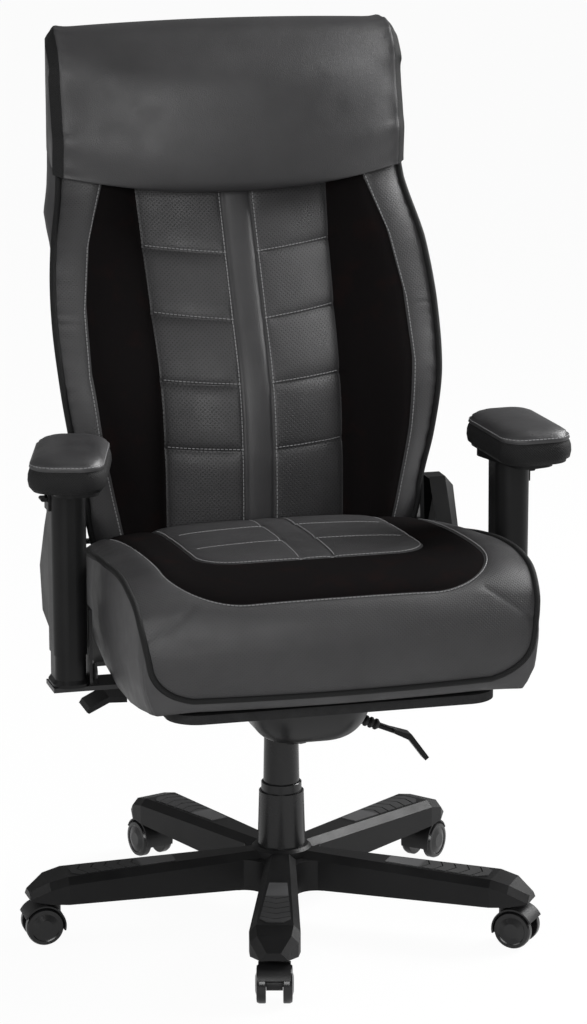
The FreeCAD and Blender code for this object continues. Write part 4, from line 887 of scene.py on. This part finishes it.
U_SEAMS = ((0.2096, 0.4061, 0.0921), (0.1527, 0.2863, 0.0508))
SEAT_ROWS = (0.085, 0.185)
SEAT_STEP = 0.0030
SEAT_THREAD_RISE = 0.0004
U_START = 0.02
BAND_RADIUS = 0.0042
HALF_COLUMNS = 87


def path_at(table, s):
    """Place along a smooth profile at a share of its points."""
    keyed = np.column_stack([np.arange(len(table)), table])
    return smooth_row(keyed, s)


fine = np.linspace(0, len(SEAT_MIDDLE) - 1, 400)
fine_points = np.array([path_at(SEAT_MIDDLE, t) for t in fine])
fine_run = np.concatenate([[0], np.cumsum(np.linalg.norm(np.diff(fine_points, axis=0), axis=1))])
SEAT_REACH = float(fine_run[-1])


def seat_half(s):
    half = float(np.interp(s, SEAT_WIDTH[:, 0], SEAT_WIDTH[:, 1]))
    t = np.clip((s - (SEAT_REACH - SEAT_CORNER)) / SEAT_CORNER, 0, 0.985)
    return half - SEAT_CORNER * (1 - math.sqrt(1 - t * t))


def u_distance(x, s, seam):
    """Distance to a U seam open at the rear, below zero inside it."""
    half, front, corner = seam
    qx, qs = abs(x) - (half - corner), s - (front - corner)
    outside = math.hypot(max(qx, 0), max(qs, 0))
    return outside + min(max(qx, qs), 0) - corner


def segment_distance(x, s, start, end):
    ax, as_ = start
    bx, bs = end
    t = ((x - ax) * (bx - ax) + (s - as_) * (bs - as_)) / ((bx - ax) ** 2 + (bs - as_) ** 2)
    t = min(1.0, max(0.0, t))
    return math.hypot(x - ax - t * (bx - ax), s - as_ - t * (bs - as_))


def seat_point(x, s):
    """Place on the seat's cover from its place on the cut cloth."""
    s = min(s, SEAT_REACH)
    share = np.interp(s, fine_run, fine)
    centre = path_at(SEAT_MIDDLE, share)
    edge = path_at(SEAT_EDGE, share)
    half = float(np.interp(s, SEAT_WIDTH[:, 0], SEAT_WIDTH[:, 1]))
    q = min(1.0, abs(x) / half)
    front = np.clip((s - 0.30) / 0.12, 0, 1)
    power = 5.0 - 2.6 * front
    y = centre[0] + (edge[0] - centre[0]) * q ** (power * 0.8)
    z = centre[1] + (edge[1] - centre[1]) * q ** power
    along = path_at(
        SEAT_MIDDLE, min(share + 0.05, len(SEAT_MIDDLE) - 1)
    ) - path_at(SEAT_MIDDLE, max(share - 0.05, 0))
    along /= np.linalg.norm(along)
    outward = np.array([along[1], -along[0]])
    outer = u_distance(x, s, U_SEAMS[0])
    inner = u_distance(x, s, U_SEAMS[1])
    sink = dip(outer, 0.0042, 0.008) + dip(inner, 0.0038, 0.007)
    if inner < 0:
        sink += dip(abs(x) - STRIP_HALF, 0.0018, 0.004)
        if abs(x) > STRIP_HALF:
            sink += min(1.0, -inner / 0.01) * max(
                dip(s - row - 0.05 * abs(x), 0.0026, 0.006) for row in SEAT_ROWS
            )
        sink += 0.004 * math.exp(inner / 0.05) - 0.004
    for corner in (1, -1):
        sink += dip(segment_distance(x, s, (corner * 0.19, 0.405), (corner * 0.255, 0.452)), 0.0016, 0.004)
    bolster = 0.006 * math.exp(-((abs(x) - 0.222) / 0.03) ** 2) * (1 - front)
    push = bolster - sink
    if outward[1] < 0:
        outward = -outward
    return np.array([x, y + outward[0] * push, z + outward[1] * push])


row_count = int(round(SEAT_REACH / SEAT_STEP))
cut = np.zeros((row_count + 1, 2 * HALF_COLUMNS + 1, 2))
for r in range(row_count + 1):
    s = SEAT_REACH * r / row_count
    half = seat_half(s)
    for c in range(-HALF_COLUMNS, HALF_COLUMNS + 1):
        cut[r, c + HALF_COLUMNS] = (half * c / HALF_COLUMNS, s)
distances = []
for seam in U_SEAMS:
    for r in range(1, row_count):
        for c in range(1, 2 * HALF_COLUMNS):
            x, s = cut[r, c]
            d = u_distance(x, s, seam)
            if abs(d) < 0.55 * SEAT_STEP:
                e = 1e-5
                gx = (u_distance(x + e, s, seam) - u_distance(x - e, s, seam)) / (2 * e)
                gs = (u_distance(x, s + e, seam) - u_distance(x, s - e, seam)) / (2 * e)
                cut[r, c] = (x - gx * d, s - gs * d)
    distances.append(np.array([[u_distance(x, s, seam) for x, s in line] for line in cut]))
points = np.array([[seat_point(x, s) for x, s in line] for line in cut])
rows, columns = cut.shape[:2]
vertices = points.reshape(-1, 3).tolist()
faces, slots = [], []
for r in range(rows - 1):
    for c in range(columns - 1):
        corners = [(r, c), (r, c + 1), (r + 1, c + 1), (r + 1, c)]
        pieces = [corners]
        for field in distances:
            signs = [0 if abs(field[k]) < 1e-6 else (1 if field[k] > 0 else -1) for k in corners]
            if 1 in signs and -1 in signs:
                pieces = [corners[:3], [corners[0], corners[2], corners[3]]]
                if signs[1] == 0 and signs[3] == 0:
                    pieces = [[corners[0], corners[1], corners[3]], corners[1:]]
        for piece in pieces:
            outer = np.mean([distances[0][k] for k in piece])
            inner = np.mean([distances[1][k] for k in piece])
            faces.append([k[0] * columns + k[1] for k in piece])
            slots.append(2 if outer > 0 else (1 if inner > 0 else 0))
flat = [tuple(pair) for pair in cut.reshape(-1, 2)]
border = [(r, 0) for r in range(rows)] + [(rows - 1, c) for c in range(1, columns)]
border += [(r, columns - 1) for r in range(rows - 2, -1, -1)] + [(0, c) for c in range(columns - 2, 0, -1)]
ring = [r * columns + c for r, c in border]
for depth in (0.03, 0.12, 0.35, 0.62, 0.88, 1.0):
    fresh = []
    for r, c in border:
        x, y, z = points[r, c]
        low = 0.374 + 0.010 * np.clip((-y - 0.20) / 0.09, 0, 1)
        swell = 0.004 * math.sin(math.pi * depth) * min(1.0, (z - low) / 0.08)
        drawn = 1 - 0.05 * depth ** 3
        fresh.append(len(vertices))
        vertices.append((
            x * drawn + math.copysign(swell, x) * (abs(x) > 0.2), (y + 0.1) * drawn - 0.1,
            z + (low - z) * depth
        ))
        flat.append((x + math.copysign(depth * 0.1, x), cut[r, c][1]))
    for i in range(len(ring)):
        j = (i + 1) % len(ring)
        faces.append([ring[i], ring[j], fresh[j], fresh[i]])
        slots.append(3)
    ring = fresh
mesh = bpy.data.meshes.new("seat_cover")
mesh.from_pydata(vertices, [], faces)
layer = mesh.uv_layers.new(name="UVMap")
corner_index = np.empty(len(mesh.loops), dtype=np.int32)
mesh.loops.foreach_get("vertex_index", corner_index)
layer.data.foreach_set("uv", np.array(flat)[corner_index].ravel())
for material in (leather_punched, suede, leather_bolster, leather_gusset):
    mesh.materials.append(material)
mesh.polygons.foreach_set("material_index", np.array(slots, dtype=np.int32))
finish_soft(mesh, 3)
seat_cover = add_object("seat_cover", mesh)
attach(seat_cover, "seat")
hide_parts("seat_cushion")


def seat_line(pairs):
    made = []
    for (x0, s0), (x1, s1) in zip(pairs, pairs[1:]):
        steps = max(2, int(math.dist((x0, s0), (x1, s1)) / 0.004))
        for i in range(steps):
            t = i / steps
            point = seat_point(x0 + (x1 - x0) * t, s0 + (s1 - s0) * t)
            made.append((point[0], point[1] - SEAT_THREAD_RISE * 0.5, point[2] + SEAT_THREAD_RISE))
    return made


def u_path(seam, grow):
    """The U seam's own line on the cut cloth, moved out by grow."""
    half, front, corner = seam[0] + grow, seam[1] + grow, seam[2] + grow
    right = [(half, U_START), (half, front - corner)]
    for t in np.linspace(0, math.pi / 2, 14):
        right.append((half - corner + corner * math.cos(t), front - corner + corner * math.sin(t)))
    return right + [(-x, s) for x, s in reversed(right)]


threads = [seat_line(u_path(U_SEAMS[0], 0.0035)), seat_line(u_path(U_SEAMS[1], -0.0035))]
for side in (-1, 1):
    threads.append(seat_line([(side * 0.0235, 0.03), (side * 0.0235, U_SEAMS[1][1] - 0.006)]))
    for row in SEAT_ROWS:
        threads.append(seat_line([(side * 0.025, row + 0.0042), (side * 0.138, row + 0.0095)]))
stitched("seat_stitches", threads, "seat", thread_light)

edge_path = [tuple(points[r, 0]) for r in range(0, rows, 2)] + [
    tuple(points[rows - 1, c]) for c in range(1, columns - 1, 2)
]
edge_path += [tuple(points[r, columns - 1]) for r in range(rows - 1, -1, -2)]
seat_band = add_object("seat_band", swept_tube("seat_band", edge_path, BAND_RADIUS, mesh_cloth))
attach(seat_band, "seat")


# Head pad: a thick leather roll sewn over the top of the back, with black mesh let in at both
# ends and a leather gusset closing each side.
HEAD_HALF = 0.2445


def head_profile(share, inset):
    """The pad's outline, as (y, z) points, at a share of its half width."""
    lift = 0.026 * share ** 2
    bow = 0.048 * share ** 2.5
    low = 0.952 + lift
    high = 1.1735 - 0.0075 * share ** 2 - inset
    front = 0.204 + bow + inset * 0.6
    rear = 0.362 - inset
    lip = max(0.006, 0.030 * (1 - share ** 1.3))
    table = np.array([
        (front + lip, low + 0.008), (front + 0.5 * lip, low), (front + 0.003, low + 0.012),
        (front, low + 0.045),
        (
            front + 0.004 + 0.05 * bow, 1.045
        ), (front + 0.014 + 0.12 * bow, 1.100), (0.246 + 0.62 * bow, high - 0.034),
        (0.272 + 0.55 * bow, high - 0.008), (0.306 + 0.35 * bow, high), (rear - 0.022, high - 0.006),
        (rear - 0.003, high - 0.034), (rear, high - 0.066), (rear - 0.016, high - 0.082),
        (rear - 0.044, high - 0.095),
        (0.300 + 0.3 * bow, 1.02), (front + lip + 0.020, 0.990 + 0.3 * lift),
    ])
    count = len(table)
    made = []
    for i in range(count):
        p0, p1, p2, p3 = (table[(i + k - 1) % count] for k in range(4))
        for t in np.linspace(0, 1, 6)[:-1]:
            made.append(
                0.5
                * (
                    (2 * p1) + (p2 - p0) * t + (2 * p0 - 5 * p1 + 4 * p2 - p3) * t ** 2
                    + (3 * p1 - p0 - 3 * p2 + p3) * t ** 3
                )
            )
    return np.array(made)


shares = np.concatenate([
    spread(0, 0.86, 26, 0.3)[:-1], [0.86, 0.89, 0.915, 0.935, 0.95, 0.962, 0.974, 0.986, 0.995, 1.0]
])
widths = np.concatenate([-shares[:0:-1], shares])
rows, flat = [], []
for share in widths:
    a = abs(share)
    inset = 0.014 * max(0.0, (a - 0.93) / 0.07) ** 2
    profile = head_profile(a, inset)
    profile = np.vstack([profile, profile[:1]])
    x = share * HEAD_HALF
    run = np.concatenate([[0], np.cumsum(np.linalg.norm(np.diff(profile, axis=0), axis=1))])
    ring = np.column_stack([x * (1 - 0.05 * np.clip((profile[:, 0] - 0.30) / 0.06, 0, 1)), profile])
    outward = np.column_stack([np.gradient(profile[:, 1]), -np.gradient(profile[:, 0])])
    outward /= np.linalg.norm(outward, axis=1)[:, None]
    pull = 0.0035 * math.exp(-abs(a - 0.955) / 0.02)
    ripple = 0.0016 * np.sin(run * 260 + 2 * np.sin(run * 61)) * math.exp(-abs(a - 0.93) / 0.035)
    ring[:, 1:] -= outward * (pull + ripple)[:, None]
    rows.append(ring)
    flat.append(np.column_stack([run, np.full(len(run), x)]))
rows = np.array(rows)
line_slots = []
for i in range(len(widths) - 1):
    a = 0.5 * abs(widths[i] + widths[i + 1])
    line_slots.append([1 if 0.955 < a else 0] * (rows.shape[1] - 1))
mesh = grid_mesh(
    "head_pad_cover", rows, np.array(flat), line_slots, [leather_plain, mesh_cloth, leather_gusset]
)
finish_soft(mesh, 2)
head_cover = add_object("head_pad_cover", mesh)
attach(head_cover, "back")
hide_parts("head_pad")


# Arm pads: leather tops on black mesh sides, stitched round the edge, on a turning plate.
ARM_SIZE = (0.096, 0.172)
ARM_LOW = 0.6363
ARM_CORNER = 0.031
CORNER_STEPS = 12
arm_leather = leather("arm_leather", (0.03, 0.0295, 0.031), (0.043, 0.0425, 0.044), 0.36, 0.48)


def rounded_ring(half_x, half_y, corner):
    """Points round a rounded rectangle, finely divided, with the first point again at the end."""
    made = []
    for quarter, (sx, sy) in enumerate(((1, 1), (-1, 1), (-1, -1), (1, -1))):
        for k in range(CORNER_STEPS + 1):
            angle = math.pi / 2 * (quarter + k / CORNER_STEPS)
            made.append((
                sx * (half_x - corner) + corner * math.cos(angle),
                sy * (half_y - corner) + corner * math.sin(angle)
            ))
    dense = []
    for i, (x, y) in enumerate(made):
        nx, ny = made[(i + 1) % len(made)]
        steps = max(1, int(math.dist((x, y), (nx, ny)) / 0.008))
        dense += [(x + (nx - x) * k / steps, y + (ny - y) * k / steps) for k in range(steps)]
    return dense + dense[:1]


for side, heading in (("left", math.radians(3.0)), ("right", math.radians(-16.0))):
    box_low, box_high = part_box("arm_pad_" + side)
    centre = Vector(((box_low[0] + box_high[0]) / 2, (box_low[1] + box_high[1]) / 2))
    levels = [
        (-0.030, 0.0), (-0.012, 0.0), (-0.004, 0.002), (0.0005, 0.008), (0.002, 0.016), (0.0015, 0.024),
        (0.0, 0.029), (-0.0018, 0.0315)
    ]
    levels += [
        (0.0, 0.0335), (-0.001, 0.037), (-0.0045, 0.0415), (-0.010, 0.0452), (-0.017, 0.0478),
        (-0.026, 0.0497), (-0.036, 0.0508), (-0.0455, 0.0512)
    ]
    rows, flat = [], []
    for grow, rise in levels:
        ring = rounded_ring(
            ARM_SIZE[0] / 2 + grow, ARM_SIZE[1] / 2 + grow, max(0.002, ARM_CORNER + grow * 0.65)
        )
        base = rounded_ring(ARM_SIZE[0] / 2, ARM_SIZE[1] / 2, ARM_CORNER)
        if len(ring) != len(base):
            k = np.linspace(0, 1, len(base))
            run = np.concatenate([[0], np.cumsum(np.linalg.norm(np.diff(np.array(ring), axis=0), axis=1))])
            run /= run[-1]
            ring = list(zip(np.interp(k, run, [p[0] for p in ring]), np.interp(k, run, [p[1] for p in ring])))
        run = np.concatenate([[0], np.cumsum(np.linalg.norm(np.diff(np.array(base), axis=0), axis=1))])
        spun = []
        for x, y in ring:
            spun.append((
                centre.x + x * math.cos(heading) - y * math.sin(heading),
                centre.y + x * math.sin(heading) + y * math.cos(heading), ARM_LOW + rise
            ))
        rows.append(spun)
        flat.append([(u, rise) for u in run])
    rows = np.array(rows)
    line_slots = [[1 if level < 7 else 0] * (rows.shape[1] - 1) for level in range(len(levels) - 1)]
    mesh = grid_mesh("arm_pad_cover_" + side, rows, np.array(flat), line_slots, [arm_leather, mesh_cloth])
    finish_soft(mesh, 0)
    pad = add_object("arm_pad_cover_" + side, mesh)
    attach(pad, "arm_pad_" + side)
    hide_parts("arm_pad_" + side)
    threads = [[(x + (centre.x - x) * 0.006, y + (centre.y - y) * 0.006, z) for x, y, z in rows[9]]]
    stitched("arm_stitches_" + side, threads, "arm_pad_" + side, thread_light)
